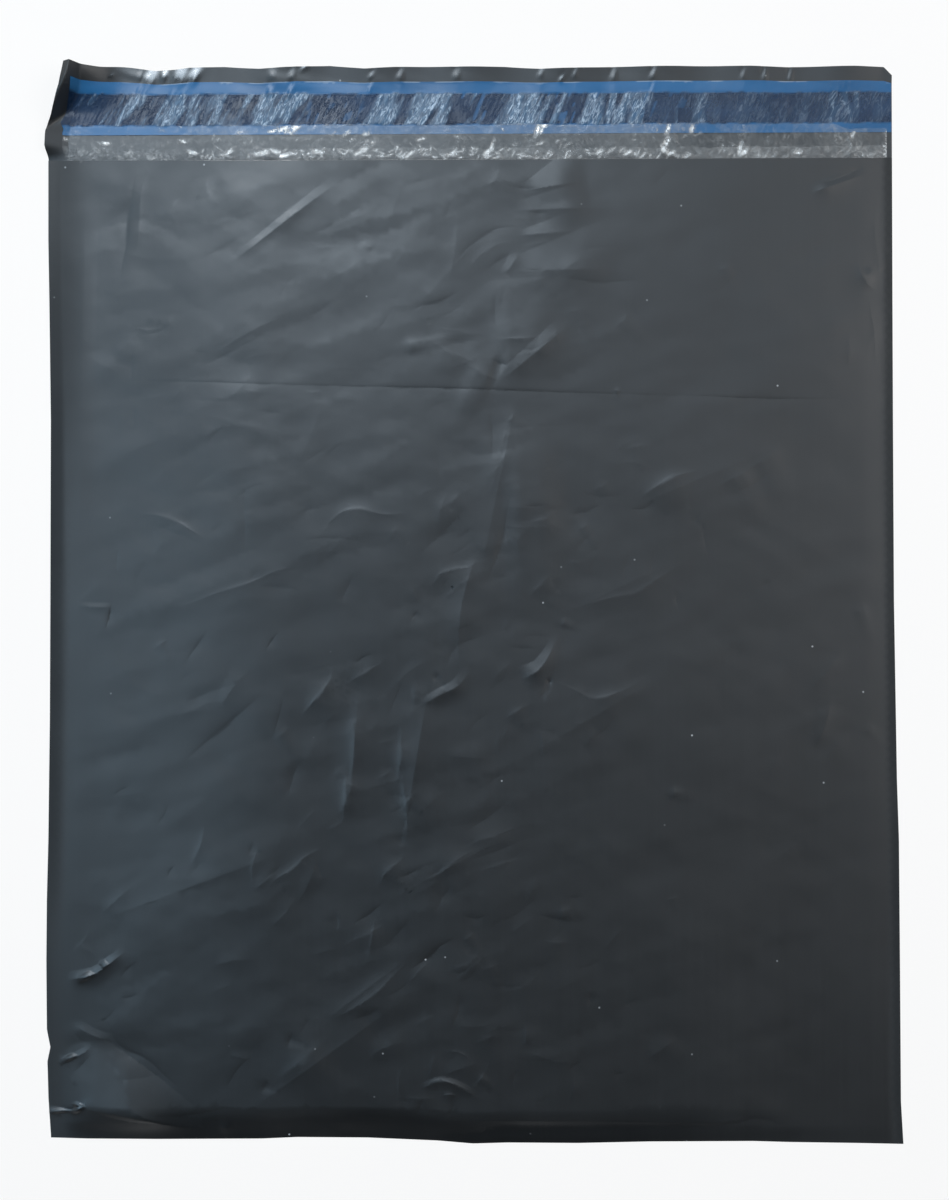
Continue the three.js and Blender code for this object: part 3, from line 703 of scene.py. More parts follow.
def panel_waves(x, y):
    """Soft random waves and faint facets of the film, weaker at the right."""
    lean_x, lean_y = 0.8 * x + 0.6 * y, -0.6 * x + 0.8 * y
    worn = 0.55 + 0.45 * (1 - smooth(x, 10, 80))
    slanting = 0.17 * crumple(lean_x / 28, lean_y / 17, 51) + 0.10 * crumple(lean_x / 15, lean_y / 9.5, 61) \
        + 0.05 * lump(lean_x / 18, lean_y / 11, 4) + 0.012 * lump(lean_x / 8, lean_y / 5, 5)
    mottled = 0.055 * crumple(x / 13, y / 11, 71) + 0.045 * lump(x / 9.5, y / 8, 72)
    return 0.22 * lump(x / 46, y / 52, 3) + worn * slanting + (0.4 + 0.6 * worn) * mottled


def crumpled_share(across, middle, left, least):
    """How likely a small crease is at a pixel across: most in the middle, less at the left, least elsewhere.

    middle is (pixel, reach) and left is (weight, pixel, reach).
    """
    weight, place, reach = left
    return math.exp(-((across - middle[0]) / middle[1]) ** 2) \
        + weight * math.exp(-((across - place) / reach) ** 2) + least


def short_path(across, down, half, angle, bend):
    """Three pixels of a short bent line through a place."""
    step = (half * math.cos(angle), -half * math.sin(angle))
    middle = (across - bend * math.sin(angle), down - bend * math.cos(angle))
    return (across - step[0], down - step[1]), middle, (across + step[0], down + step[1])


def small_creases():
    """Faint short creases strewn over the panel, most of them where the film is crumpled."""
    dice = np.random.RandomState(11)
    creases = []
    while len(creases) < 180:
        across, down = dice.uniform(62, 880), dice.uniform(170, 1125)
        crumpled = crumpled_share(across, (500, 130), (0.45, 180, 200), 0.08)
        angle = math.radians(dice.normal(48, 30))
        half = dice.uniform(8, 28)
        bend = dice.uniform(-0.25, 0.25) * half
        strength = dice.choice((-1, 1)) * dice.uniform(0.25, 0.75)
        width = dice.uniform(2, 5)
        if dice.uniform() <= crumpled:
            creases.append((strength, width, *short_path(across, down, half, angle, bend)))
    return tuple(creases)


def small_folds():
    """Faint small folds strewn over the panel, most of them where the film is crumpled."""
    dice = np.random.RandomState(12)
    folds = []
    while len(folds) < 80:
        across, down = dice.uniform(75, 870), dice.uniform(180, 1110)
        crumpled = crumpled_share(across, (490, 140), (0.6, 180, 200), 0.1)
        angle = math.radians(min(72, max(-15, dice.normal(36, 28))))
        half = dice.uniform(12, 36)
        bend = dice.uniform(-0.12, 0.12) * half
        strength = dice.choice((-1, 1, 1)) * dice.uniform(0.15, 0.4)
        widths = dice.uniform(4, 10), dice.uniform(8, 24)
        if dice.uniform() <= crumpled:
            power = dice.choice((1, 2))
            folds.append((strength, *widths, power, *short_path(across, down, half, angle, bend)))
    return tuple(folds)


SMALL_CREASES = small_creases()
SMALL_FOLDS = small_folds()
CREASES = PANEL_CREASES + SMALL_CREASES
FOLDS = PANEL_FOLDS + SMALL_FOLDS


def panel_place(x, y):
    """Where a point of the flat panel lies, seen from above, and how high the panel is there."""
    rise = panel_rise(x, y)
    draw = MOUTH_DRAW * rise / LOFT * smooth(y, MOUTH - 100, MOUTH)
    px, py = drift(x, y - draw)
    return px, py, rise


def panel_relief(px, py, rise):
    """Height that creases, folds and waves add to the panel, without its bright spots."""
    relief = crease_relief(px, py, CREASES, AT_PANEL) + fold_relief(px, py, FOLDS, AT_PANEL)[0]
    relief = relief + panel_waves(px, py)
    return np.maximum(relief, -np.minimum(0.6, 0.3 * rise)) * np.minimum(1, rise / 1.2)


def panel_height(px, py):
    """Height of the panel above its edges, without its bright spots."""
    rise = panel_rise(px, py)
    return rise + panel_relief(px, py, rise)


def panel_point(x, y):
    """Place of the front panel's outer face for a point of the flat panel."""
    px, py, rise = panel_place(x, y)
    spots = facets(px, py, PANEL_SPOTS, AT_CORNER, panel_height)[0]
    relief = panel_relief(px, py, rise) + np.maximum(0, spots)
    curl = EDGE_CURL * np.exp(-(x - LEFT) / 9) * smooth(y, BOTTOM, BOTTOM + 60)
    return px, py, EDGE_LEVEL + curl + rise + relief


# Rows of points along creases and folds, as crease_rows() and fold_rows() take them
CREASE_ROWS = (0, 0.3, -0.3, 0.9, -1.2, 1.8, -3.2)
FOLD_ROWS = ((0, 0), (0, 0.4), (0, -0.4), (1, 0), (1, 0.4), (1, -0.4), (0.5, 0), (-0.6, 0))
SMALL_CREASE_ROWS = (0.3, -0.3, 1.2, -1.6)
SMALL_FOLD_ROWS = ((0, 0.2), (0, -0.4), (1, 0), (0.5, 0))
NET_STEP = (2.4, 2.1)  # spacing of the plain net, across and along
NET_MARGIN = 0.8  # from the border to the nearest point inside it
ROW_CELL = 0.38  # cells of this size keep one point of the rows
NET_CELL = 1.3  # cells of this size that hold a point of the rows take none of the net


def unflattened(rows):
    """The points of the flat panel that come to lie at the points of rows."""
    x, y = rows[:, 0].copy(), rows[:, 1].copy()
    for _ in range(6):
        px, py, _ = panel_place(x, y)
        x += rows[:, 0] - px
        y += rows[:, 1] - py
    return x, y


def panel_net(border):
    """Points of the flat panel: its border, rows along the creases and a plain net between them."""
    x, y = unflattened(np.vstack((
        spot_rows(PANEL_SPOTS, AT_CORNER),
        fold_rows(PANEL_FOLDS, AT_PANEL, FOLD_ROWS, 1.1),
        crease_rows(PANEL_CREASES, AT_PANEL, CREASE_ROWS, 0.9),
        fold_rows(SMALL_FOLDS, AT_PANEL, SMALL_FOLD_ROWS, 1.5),
        crease_rows(SMALL_CREASES, AT_PANEL, SMALL_CREASE_ROWS, 1.2))))
    inside = (x > LEFT + NET_MARGIN) & (x < RIGHT - NET_MARGIN) \
        & (y > BOTTOM + NET_MARGIN) & (y < MOUTH - NET_MARGIN)
    near = np.column_stack((x, y))[inside]
    cells = np.floor(near / ROW_CELL).astype(int)
    first = np.sort(np.unique(cells[:, 0] * 100003 + cells[:, 1], return_index=True)[1])
    near = near[first]
    plain_x, plain_y = np.meshgrid(np.arange(LEFT + 1.5, RIGHT - 1, NET_STEP[0]),
                                   np.arange(BOTTOM + 1.5, MOUTH - 1, NET_STEP[1]))
    plain_x = plain_x + NET_STEP[0] / 2 * (np.arange(plain_x.shape[0]) % 2)[:, None]
    plain = np.column_stack((plain_x.ravel(), plain_y.ravel()))
    plain = plain[plain[:, 0] < RIGHT - NET_MARGIN]
    taken = set(map(tuple, np.floor(near / NET_CELL).astype(int).tolist()))
    free = [tuple(c) not in taken for c in np.floor(plain / NET_CELL).astype(int).tolist()]
    return np.vstack((border, near, plain[free]))


# Flap

FLAP_CREASES = (
    (1.5, 2, (109, 79), (114, 76), (120, 73)),
    (1.5, 4, (81, 72), (82, 62)),
    (1, 6, (138, 84), (142, 70)),
    (1.5, 7, (270, 96), (273, 66)),
    (1.2, 7, (290, 96), (293, 66)),
    (2, 4, (366, 96), (371, 80), (373, 68)),
    (1, 5, (398, 96), (400, 66)),
    (1.5, 4, (538, 96), (540, 66)),
    (3, 2, (557, 86), (561, 80), (564, 75)),
    (1.2, 4, (574, 96), (575, 66)),
    (1.5, 4, (651, 96), (655, 66)),
    (1, 4, (742, 96), (743, 66)),
    (1, 4, (763, 96), (765, 66)),
    (1, 4, (789, 96), (791, 66)),
    (0.8, 6, (455, 96), (457, 66)),
    (0.8, 6, (612, 96), (613, 66)),
)

# Bright streaks across the flap's bare edge and across the blue film, as facets() takes them
STREAKS = (
    (152, 74, 11, 6.0, 62, 1.0), (165, 73, 7, 3.4, 66, 0.8), (181, 73, 11, 6.4, 66, 1.0),
    (195, 73, 11, 5.4, 62, 1.0), (111, 77, 4, 1.6, 30, 0.8), (304, 68, 5, 2.2, 25, 0.9),
    (562, 77, 5, 2.2, 60, 0.9), (372, 74, 5, 2.0, 65, 0.5), (541, 72, 5, 2.2, 75, 0.4),
    (653, 72, 6, 2.8, 78, 0.4), (743, 73, 5, 2.0, 85, 0.2), (575, 72, 5, 2.0, 80, 0.2),
    (272, 73, 6, 3.4, 85, 0.2), (292, 73, 6, 2.8, 85, 0.2), (140, 74, 6, 2.4, 72, 0.2),
    (82, 66, 5, 2.4, 80, 0.2), (400, 73, 6, 3.0, 85, 0.1), (456, 73, 6, 3.0, 88, 0.1),
    (613, 73, 6, 3.0, 88, 0.1), (764, 73, 6, 2.2, 86, 0.1), (790, 73, 6, 2.2, 86, 0.1),
    (146, 88, 9, 2.2, 62, 0.5), (174, 90, 11, 2.8, 66, 0.6), (185, 90, 11, 2.2, 62, 0.5),
    (271, 88, 7, 3.2, 85, 0.2), (291, 88, 7, 2.6, 85, 0.2), (370, 88, 7, 1.6, 80, 0.3),
    (140, 86, 7, 2.0, 70, 0.2), (652, 88, 7, 2.0, 82, 0.2),
)

# How far the flap's left edge stands in from the straight line, by the height above the mouth
CORNER_EDGE = ((0, 1.2, 5.4, 11.7, 14.6, 17.4, 22.9, 28.7, 35.1, 38),
               (-1.3, -1.4, -2.4, -2.1, -0.9, 0.8, 3.3, 5.7, 7.0, 7.6))

CURL_FROM = 31.0  # height above the mouth from which the flap's free edge curls up


def flap_level(u, v):
    """Height of the flap's upper face, with the ruffles of its edge and its lifted left corner."""
    along = u - LEFT
    up = np.maximum(0, v) / FLAP
    wave = 0.5 - 0.5 * np.cos(2 * math.pi * along / RUFFLE_LENGTH)
    ruffle = RUFFLE * up ** 2 * wave * smooth(along, 18, 54)
    crest = CORNER_RISE * smooth(up, 0.15, 0.85)
    top = CORNER_CREST * smooth(up, 0.5, 0.95)
    inner, outer = np.maximum(0, along - top), np.maximum(0, top - along)
    steep = np.maximum(0, crest - CORNER_SLOPE * inner - 0.7 * outer * up)
    fall = np.maximum(0, 1 - along / CORNER_REACH)
    gentle = 0.85 * CORNER_RISE * fall ** 2 * smooth(up, 0.5, 1)
    foot = 3.2 * np.maximum(0, 1 - along / 9) * smooth(up, 0.02, 0.16) * (1 - smooth(up, 0.35, 0.6))
    bend = np.interp(u, (-110, -80, 40, 120), (0.07, 0.12, 0.11, 0.05))
    past = np.maximum(0, v - CURL_FROM)
    return ruffle + bend * past ** 2 / (past + 1) + np.maximum(np.maximum(steep, gentle), foot)


def flap_base(u, v):
    """Place of the flap's upper face, without its bright streaks, u across the flap and v above the mouth."""
    along = u - LEFT
    up = np.clip(v / FLAP, 0, 1)
    pull = np.interp(v, *CORNER_EDGE)
    x = u + pull * (1 - smooth(along, 0, CORNER_REACH)) + RIGHT_SHIFT[1][-1] * smooth(along, 0, RIGHT - LEFT)
    trim = np.interp(x, *TOP_SHIFT) * smooth(along, 14, 40)
    cut = np.maximum(0, 3.3 - (RIGHT - u)) * smooth(v, FLAP - 9, FLAP)
    y = MOUTH + v - cut + trim * smooth(up, 0.6, 1.0)
    relief = crease_relief(x, y, FLAP_CREASES, AT_FLAP, (0.0, -0.12)) + 0.10 * lump(x / 17, y / 30, 8) \
        + 0.03 * lump(x / 5, y / 14, 9)
    return x, y, flap_level(u, v) + np.maximum(-0.03, relief * smooth(up, 0.3, 0.7))


def flap_height(x, y):
    """Height of the flap, without its bright streaks, near that place."""
    return flap_base(x, y - MOUTH)[2]


def flap_point(u, v):
    """Place of the flap's upper face, u across the flap and v above the mouth."""
    x, y, level = flap_base(u, v)
    streak = facets(x, y, STREAKS, AT_FLAP, flap_height)[0]
    return x, y, np.maximum(0.0, level + np.maximum(-0.6, streak) * smooth(v / FLAP, 0.5, 0.7))


# Materials

def new_material(name):
    """A material, its tree of nodes and its shader."""
    material = bpy.data.materials.new(name)
    material.use_nodes = True
    tree = material.node_tree
    shader = next(n for n in tree.nodes if n.type == "BSDF_PRINCIPLED")
    return material, tree, shader


def add(tree, kind, **settings):
    """A node of that kind. A setting is a property of the node, or else an input by its name."""
    node = tree.nodes.new(kind)
    for name, value in settings.items():
        if hasattr(node, name):
            setattr(node, name, value)
        else:
            node.inputs[name].default_value = value
    return node


def link(tree, a, b):
    """Joins an output to an input."""
    tree.links.new(a, b)


def spread(tree, scale, turn=0.0):
    """Object coordinates in metres, turned in the level plane and times scale, one factor for each axis."""
    place = add(tree, "ShaderNodeTexCoord")
    mapping = add(tree, "ShaderNodeMapping", vector_type="TEXTURE", Scale=[1 / k for k in scale],
                  Rotation=(0, 0, turn))
    link(tree, place.outputs["Object"], mapping.inputs["Vector"])
    return mapping.outputs["Vector"]


def noise(tree, scale, detail=3.0, roughness=0.5, distortion=0.0, turn=0.0):
    """Noise over the object coordinates."""
    node = add(tree, "ShaderNodeTexNoise", Scale=1.0, Detail=detail, Roughness=roughness,
               Distortion=distortion)
    link(tree, spread(tree, scale, turn), node.inputs["Vector"])
    return node.outputs["Fac"]


def ramp(tree, value, *stops):
    """A colour ramp over a value, from (place, colour) stops."""
    node = add(tree, "ShaderNodeValToRGB")
    for element, (place, colour) in zip(node.color_ramp.elements, stops):
        element.position = place
        element.color = (*colour, 1)
    link(tree, value, node.inputs["Fac"])
    return node.outputs["Color"]


def level_of(tree, value, low, high, to_low, to_high):
    """A value moved from one range into another, kept inside it."""
    node = add(tree, "ShaderNodeMapRange", clamp=True)
    for k, number in enumerate((low, high, to_low, to_high)):
        node.inputs[k + 1].default_value = number
    link(tree, value, node.inputs[0])
    return node.outputs[0]


def combine(tree, operation, a, b):
    """Maths on two values, either of which may be a plain number."""
    node = add(tree, "ShaderNodeMath", operation=operation)
    for k, value in enumerate((a, b)):
        if isinstance(value, (int, float)):
            node.inputs[k].default_value = value
        else:
            link(tree, value, node.inputs[k])
    return node.outputs[0]


def mixed(tree, factor, a, b):
    """Two colours mixed by a factor. Either may be a plain colour."""
    node = add(tree, "ShaderNodeMix", data_type="RGBA")
    link(tree, factor, node.inputs[0])
    for k, value in ((6, a), (7, b)):
        if isinstance(value, tuple):
            node.inputs[k].default_value = (*value, 1)
        else:
            link(tree, value, node.inputs[k])
    return node.outputs[2]


def value_of(tree, name):
    """The value that mark() stored at each point."""
    return add(tree, "ShaderNodeAttribute", attribute_name=name).outputs["Fac"]


def off_lines(tree, scale, *look):
    """How far a noise is from its middle, which makes winding lines where it is 0."""
    return combine(tree, "ABSOLUTE", combine(tree, "SUBTRACT", noise(tree, scale, *look), 0.5), 0.0)


def bumped(tree, shader, height, distance, strength):
    """Fine relief from a height between 0 and 1, distance in metres."""
    node = add(tree, "ShaderNodeBump", Strength=strength, Distance=distance)
    link(tree, height, node.inputs["Height"])
    link(tree, node.outputs["Normal"], shader.inputs["Normal"])


def dark_film():
    """Satin dark grey polythene with a faint lengthwise grain, mottling and a few dust specks."""
    material, tree, shader = new_material("dark_film")
    mottle = noise(tree, (22, 22, 22), 4, 0.55)
    base = ramp(tree, mottle, (0.3, (0.0045, 0.0052, 0.0057)), (0.7, (0.0066, 0.0074, 0.0081)))
    grain = noise(tree, (700, 9, 9), 2, 0.6)
    base = mixed(tree, level_of(tree, grain, 0.4, 0.8, 0.0, 0.15), base, (0.016, 0.0175, 0.019))
    specks = add(tree, "ShaderNodeTexVoronoi", voronoi_dimensions="2D", Scale=1.0)
    link(tree, spread(tree, (55, 55, 55)), specks.inputs["Vector"])
    dust = level_of(tree, specks.outputs["Distance"], 0.010, 0.028, 1.0, 0.0)
    rare = level_of(tree, specks.outputs["Color"], 0.80, 0.92, 0.0, 1.0)
    base = mixed(tree, combine(tree, "MULTIPLY", dust, rare), base, (0.40, 0.41, 0.42))
    link(tree, base, shader.inputs["Base Color"])
    haze = combine(tree, "ADD", level_of(tree, noise(tree, (34, 34, 34), 5, 0.6), 0.3, 0.7, 0.465, 0.525),
                   level_of(tree, grain, 0.3, 0.8, -0.006, 0.010))
    haze = combine(tree, "ADD", haze, combine(tree, "MULTIPLY", value_of(tree, "weld"), 0.36))
    link(tree, haze, shader.inputs["Roughness"])
    fine = combine(tree, "ADD", noise(tree, (900, 900, 900), 2, 0.5), combine(tree, "MULTIPLY", grain, 0.25))
    bumped(tree, shader, fine, 0.00003, 0.25)
    for name, value in (("Specular IOR Level", 0.655), ("Specular Tint", (0.90, 0.95, 1.0, 1)),
                        ("Coat Weight", 0.2), ("Coat Roughness", 0.24)):
        shader.inputs[name].default_value = value
    return material


def clear_film():
    """Clear crinkled film with a slight haze, cloudier where it is folded, painted whitish at the bright
    spots as a painted highlight.
    """
    material, tree, shader = new_material("clear_film")
    cloud = noise(tree, (60, 90, 60), 4, 0.6)
    colour = ramp(tree, cloud, (0.3, (0.50, 0.50, 0.50)), (0.7, (0.68, 0.68, 0.67)))
    link(tree, colour, shader.inputs["Base Color"])
    wrinkle = noise(tree, (520, 360, 400), 3, 0.6, 0.6)
    bend = off_lines(tree, (330, 300, 300), 3, 0.55, 0.9)
    lines = combine(tree, "MULTIPLY", level_of(tree, bend, 0.0, 0.05, 1.0, 0.0),
                    level_of(tree, noise(tree, (110, 150, 110), 2, 0.5), 0.52, 0.72, 0.0, 1.0))
    cover = combine(tree, "ADD", value_of(tree, "haze"), level_of(tree, wrinkle, 0.45, 0.75, -0.04, 0.08))
    cover = combine(tree, "ADD", cover, combine(tree, "MULTIPLY", lines, 0.30))
    # Painted highlight: at the bright spots of the lips the film is made more opaque and whitish, in ragged
    # patches
    ragged_mask = level_of(tree, noise(tree, (900, 700, 700), 3, 0.6, 0.8), 0.40, 0.54, 0.25, 0.95)
    cover = combine(tree, "ADD", cover, combine(tree, "MULTIPLY", value_of(tree, "painted_glint"), ragged_mask))
    link(tree, cover, shader.inputs["Alpha"])
    link(tree, level_of(tree, cloud, 0.3, 0.7, 0.10, 0.20), shader.inputs["Roughness"])
    bumped(tree, shader, wrinkle, 0.00025, 0.35)
    return material


def adhesive_film():
    """Tacky dark band with faint ripples."""
    material, tree, shader = new_material("adhesive")
    tack = noise(tree, (260, 90, 100), 3, 0.6, 0.4)
    link(tree, ramp(tree, tack, (0.3, (0.012, 0.022, 0.040)), (0.75, (0.030, 0.048, 0.080))),
         shader.inputs["Base Color"])
    link(tree, level_of(tree, tack, 0.3, 0.7, 0.30, 0.5), shader.inputs["Roughness"])
    bumped(tree, shader, tack, 0.0001, 0.4)
    return material


def blue_film():
    """Thin blue film: plain where it is free, and navy with frosted crinkles where the adhesive holds it."""
    material, tree, shader = new_material("blue_film")
    tint = noise(tree, (30, 90, 30), 3, 0.5)
    free = ramp(tree, tint, (0.3, (0.016, 0.112, 0.270)), (0.7, (0.030, 0.158, 0.360)))
    deep = ramp(tree, tint, (0.3, (0.004, 0.018, 0.050)), (0.7, (0.012, 0.040, 0.098)))
    colour = mixed(tree, value_of(tree, "bond"), free, deep)
    hairs = noise(tree, (900, 260, 600), 4, 0.65, 0.7, -0.45)
    bend = off_lines(tree, (520, 120, 300), 4, 0.62, 0.5, -0.45)
    lines = level_of(tree, bend, 0.008, 0.045, 1.0, 0.0)
    frost = combine(tree, "MULTIPLY", value_of(tree, "frost"), level_of(tree, hairs, 0.34, 0.62, 0.35, 1.0))
    colour = mixed(tree, frost, colour, (0.070, 0.140, 0.225))
    colour = mixed(tree, combine(tree, "MULTIPLY", lines, frost), colour, (0.46, 0.56, 0.68))
    colour = mixed(tree, value_of(tree, "fray"), colour, (0.50, 0.56, 0.62))
    link(tree, colour, shader.inputs["Base Color"])
    link(tree, level_of(tree, tint, 0.3, 0.7, 0.28, 0.40), shader.inputs["Roughness"])
    cover = combine(tree, "ADD", 0.80, combine(tree, "MULTIPLY", frost, 0.2))
    link(tree, cover, shader.inputs["Alpha"])
    relief = combine(tree, "MULTIPLY", combine(tree, "ADD", hairs, lines), value_of(tree, "bond"))
    bumped(tree, shader, relief, 0.00022, 0.5)
    shader.inputs["Specular IOR Level"].default_value = 0.35
    return material


DARK = dark_film()
CLEAR = clear_film()
GLUE = adhesive_film()
BLUE = blue_film()


# Pouch film

def panel_normals(points):
    """Directions square to the front panel at points of the flat panel."""
    x, y = points[:, 0], points[:, 1]
    step = 0.08
    ahead_x, behind_x = np.array(panel_point(x + step, y)), np.array(panel_point(x - step, y))
    ahead_y, behind_y = np.array(panel_point(x, y + step)), np.array(panel_point(x, y - step))
    normals = np.cross((ahead_x - behind_x).T, (ahead_y - behind_y).T)
    return normals / np.linalg.norm(normals, axis=1)[:, None]


LEFT_WELD = 6.0  # widths of the side welds
RIGHT_WELD = 3.5
FILM = 0.08  # thickness of the dark film
BORDER_STEP = 1.5  # spacing of the panel's border points
BACK_LEFT = 22.0  # from the left edge to the back panel's flat part, under the lifted film
BACK_RIM = 4.0  # the same from the other edges


def panel_finish(flat, front):
    """How dull the front panel is: above 0 at its welds and left edge, and below 0 where it is glossy."""
    x, y = flat[:, 0], flat[:, 1]
    edge = np.minimum((x - LEFT) / LEFT_WELD, (RIGHT - x) / RIGHT_WELD)
    shown = np.where(x > 0, 1, 0.25 + 0.75 * smooth(y, -150, -100))
    welded = (1 - smooth(edge, 0.6, 1.4)) * shown
    dull = 0.65 * smooth(y, -10, 120) * (1 - smooth(x - LEFT, 4, 22))
    shiny = np.maximum(fold_relief(front[:, 0], front[:, 1], PANEL_FOLDS, AT_PANEL)[1],
                       facets(front[:, 0], front[:, 1], PANEL_SPOTS, AT_CORNER)[1])
    strip = y - BOTTOM + 2.5 * lump(x / 40, y * 0, 73)
    taut = (1 - smooth(strip, 7, 13)) * smooth(x, -150, -115) * (1 - smooth(x, 50, 110))
    return np.maximum(welded, dull) - 0.7 * shiny - 0.34 * taut


def make_pouch():
    """One sheet: front panel, bottom fold, back panel and flap, welded along both sides."""
    xs = spaced(LEFT, RIGHT, BORDER_STEP)
    ys = spaced(BOTTOM, MOUTH, BORDER_STEP)
    us = spaced(LEFT, RIGHT, 0.85, ((LEFT, LEFT + 22, 0.4), (LEFT + 22, LEFT + 70, 0.42)))
    vs = spaced(0, FLAP, BORDER_STEP, ((20, FLAP, 0.8),))
    n, m, nu, nv = len(xs), len(ys), len(us), len(vs)
    foot = np.column_stack((xs, np.full(n, BOTTOM)))
    right = np.column_stack((np.full(m, RIGHT), ys))
    lip = np.column_stack((xs, np.full(n, MOUTH)))[::-1]
    left = np.column_stack((np.full(m, LEFT), ys))[::-1]
    border = np.vstack((foot, right[1:], lip[1:], left[1:-1]))
    flat = panel_net(border)
    net = delaunay_2d_cdt([Vector(p) for p in flat.tolist()], [], [], 0, 1e-7)
    faces = [list(face) for face in net[2]]
    front = np.column_stack(panel_point(flat[:, 0], flat[:, 1]))
    # The flap, whose lowest row is the mouth of the back panel
    gu, gv = np.meshgrid(us, vs)
    fx, fy, fz = flap_point(gu, gv)
    flap = np.column_stack((fx.ravel(), fy.ravel(), (fz + FILM * smooth(gv, 0, 0.5)).ravel()))
    flap[:nu, 2] = 0
    first_flap = len(front)
    faces += grid_faces(nv, nu, first_flap)
    # The rim of the back panel: bottom and right side, mouth, and left side
    rim = len(faces)
    mouth_right = n + m - 2
    mouth_left = mouth_right + n - 1
    lower = np.vstack((front[:mouth_right], front[mouth_left + 1:len(border)]))
    lower[:, 2] = np.maximum(0, lower[:, 2] - EDGE_LEVEL)
    outer = np.vstack((front, flap, lower))
    numbers = list(range(len(outer)))
    mouth = numbers[first_flap:first_flap + nu]
    below, aside = numbers[-len(lower):][:mouth_right], numbers[-len(lower):][mouth_right:]
    faces += band_faces(below + mouth[-1:], numbers[:mouth_right + 1])
    faces += band_faces(mouth[:1] + aside + below[:1], numbers[mouth_left:len(border)] + [0])
    ring = below + mouth[::-1] + aside
    # The rest of the back panel, flat on the floor
    rest = outer[ring]
    rest[:, 0] = np.clip(rest[:, 0], LEFT + BACK_LEFT, RIGHT - BACK_RIM)
    rest[:, 1] = np.clip(rest[:, 1], BOTTOM + BACK_RIM, MOUTH - BACK_RIM)
    rest[:, 2] = 0
    inner = [len(outer) + k for k in range(len(ring))]
    faces += band_faces(inner + inner[:1], ring + ring[:1])
    faces.append(inner[::-1])
    piece = make_piece("pouch_film", np.vstack((outer, rest)), faces, DARK, rim)
    weld = np.zeros(len(outer) + len(rest))
    weld[:len(flat)] = panel_finish(flat, front)
    weld[first_flap:first_flap + len(flap)] = -0.85 * facets(flap[:, 0], flap[:, 1], STREAKS, AT_FLAP)[1]
    mark(piece, "weld", weld)
    # Corners with a zero direction keep the one that their faces give
    facing = np.zeros((len(weld), 3))
    facing[len(border):len(flat)] = panel_normals(flat[len(border):])
    corners = np.empty(len(piece.data.loops), int)
    piece.data.loops.foreach_get("vertex_index", corners)
    piece.data.normals_split_custom_set(facing[corners].tolist())
    return piece


# Release film and adhesive

def glue_share(v):
    """1 where the adhesive holds the release film and 0 where the film is free."""
    return smooth(v, GLUE_FOOT - 0.4, GLUE_FOOT + 0.4) * (1 - smooth(v, GLUE_TOP - 0.4, GLUE_TOP + 0.4))


# How crowded the crinkles are along the release film
FROST_PLACES = (-172, -150, -135, -86, -33, 23, 80, 133, 170)
FROST_CROWD = (-0.28, -0.12, -0.08, 0.0, 0.24, 0.08, 0.0, 0.0, -0.05)


def frost_islands(x, v):
    """Where the release film has crinkled off the adhesive, from 0 to 1."""
    lean = x - 0.55 * (v - GLUE_FOOT) * (1 - smooth(x, 20, 90))
    field = 0.55 * lump(lean / 8, v / 20, 21) + 0.45 * lump(lean / 2.6, v / 14, 22) \
        + 0.25 * lump(lean / 1.1, v / 5, 29) + np.interp(x, FROST_PLACES, FROST_CROWD)
    return smooth(field, -0.08, 0.56) * (1 - 0.55 * smooth(x, 40, 110))


GLUE_UNDERSIDE = 0.10  # heights above the flap
GLUE_EDGE = 0.16
GLUE_SWELL = 0.12  # how much higher the adhesive is away from its edges
RELEASE_STEP = 0.56  # spacing of the release film's points
RELEASE_LEVEL = 0.31  # height of the release film above the flap
LEFT_RUN = 2.4  # how far the release film runs past the ends of the CAD model's strip
RIGHT_RUN = 0.8


def make_release():
    """Blue film over the adhesive, wider than it on both sides."""
    us = spaced(STRIP_LEFT, STRIP_RIGHT, RELEASE_STEP)
    vs = spaced(STRIP_FOOT, STRIP_TOP, RELEASE_STEP)
    gu, gv = np.meshgrid(us, vs)
    gu = gu - LEFT_RUN * smooth(gv, 12.5, 16) * (1 - smooth(gu, STRIP_LEFT, STRIP_LEFT + 8)) \
        + RIGHT_RUN * smooth(gu, STRIP_RIGHT - 6, STRIP_RIGHT)
    x, y, z = flap_point(gu, gv)
    bond = glue_share(gv + 0.35 * lump(gu / 2.4, gv / 2, 23))
    faint = 0.13 * smooth(gu, 50, 120) * (1 + lump((gu - 0.2 * gv) / 3, gv / 9, 43))
    frost = np.maximum(frost_islands(gu, gv), faint) * bond
    loose = smooth(lump((gu - 0.4 * gv) / 1.7, gv / 4.5, 41), 0.45, 0.8) \
        * smooth(lump(gu / 12, gv / 30, 42), -0.2, 0.3)
    bond = bond * (1 - 0.6 * loose * smooth(gu, -130, -20) * (1 - smooth(gu, 50, 120)))
    bond = np.maximum(bond, 0.12 * smooth(gu, 40, 140))
    crinkle = ridge(gu / 1.5 + 0.5 * lump(gu / 5, gv / 5, 24), gv / 4.6, 25)
    free = 1 - glue_share(gv)
    z = z + RELEASE_LEVEL + frost * (0.06 + 0.16 * crinkle) + free * 0.10 * (1 + lump(gu / 7, gv / 9, 26))
    piece = make_piece("release_film", np.column_stack((x.ravel(), y.ravel(), z.ravel())),
                       grid_faces(len(vs), len(us)), BLUE)
    mark(piece, "bond", bond)
    mark(piece, "frost", frost)
    ragged = gv + 0.25 * lump(gu / 1.3, gv, 27) + 0.2 * lump(gu / 9, gv, 28)
    ragged_mask = smooth(ragged, STRIP_TOP - 0.55, STRIP_TOP - 0.15)
    mark(piece, "fray", 0.6 * ragged_mask * smooth(lump(gu / 6, gv, 30), -0.2, 0.5))
    return piece


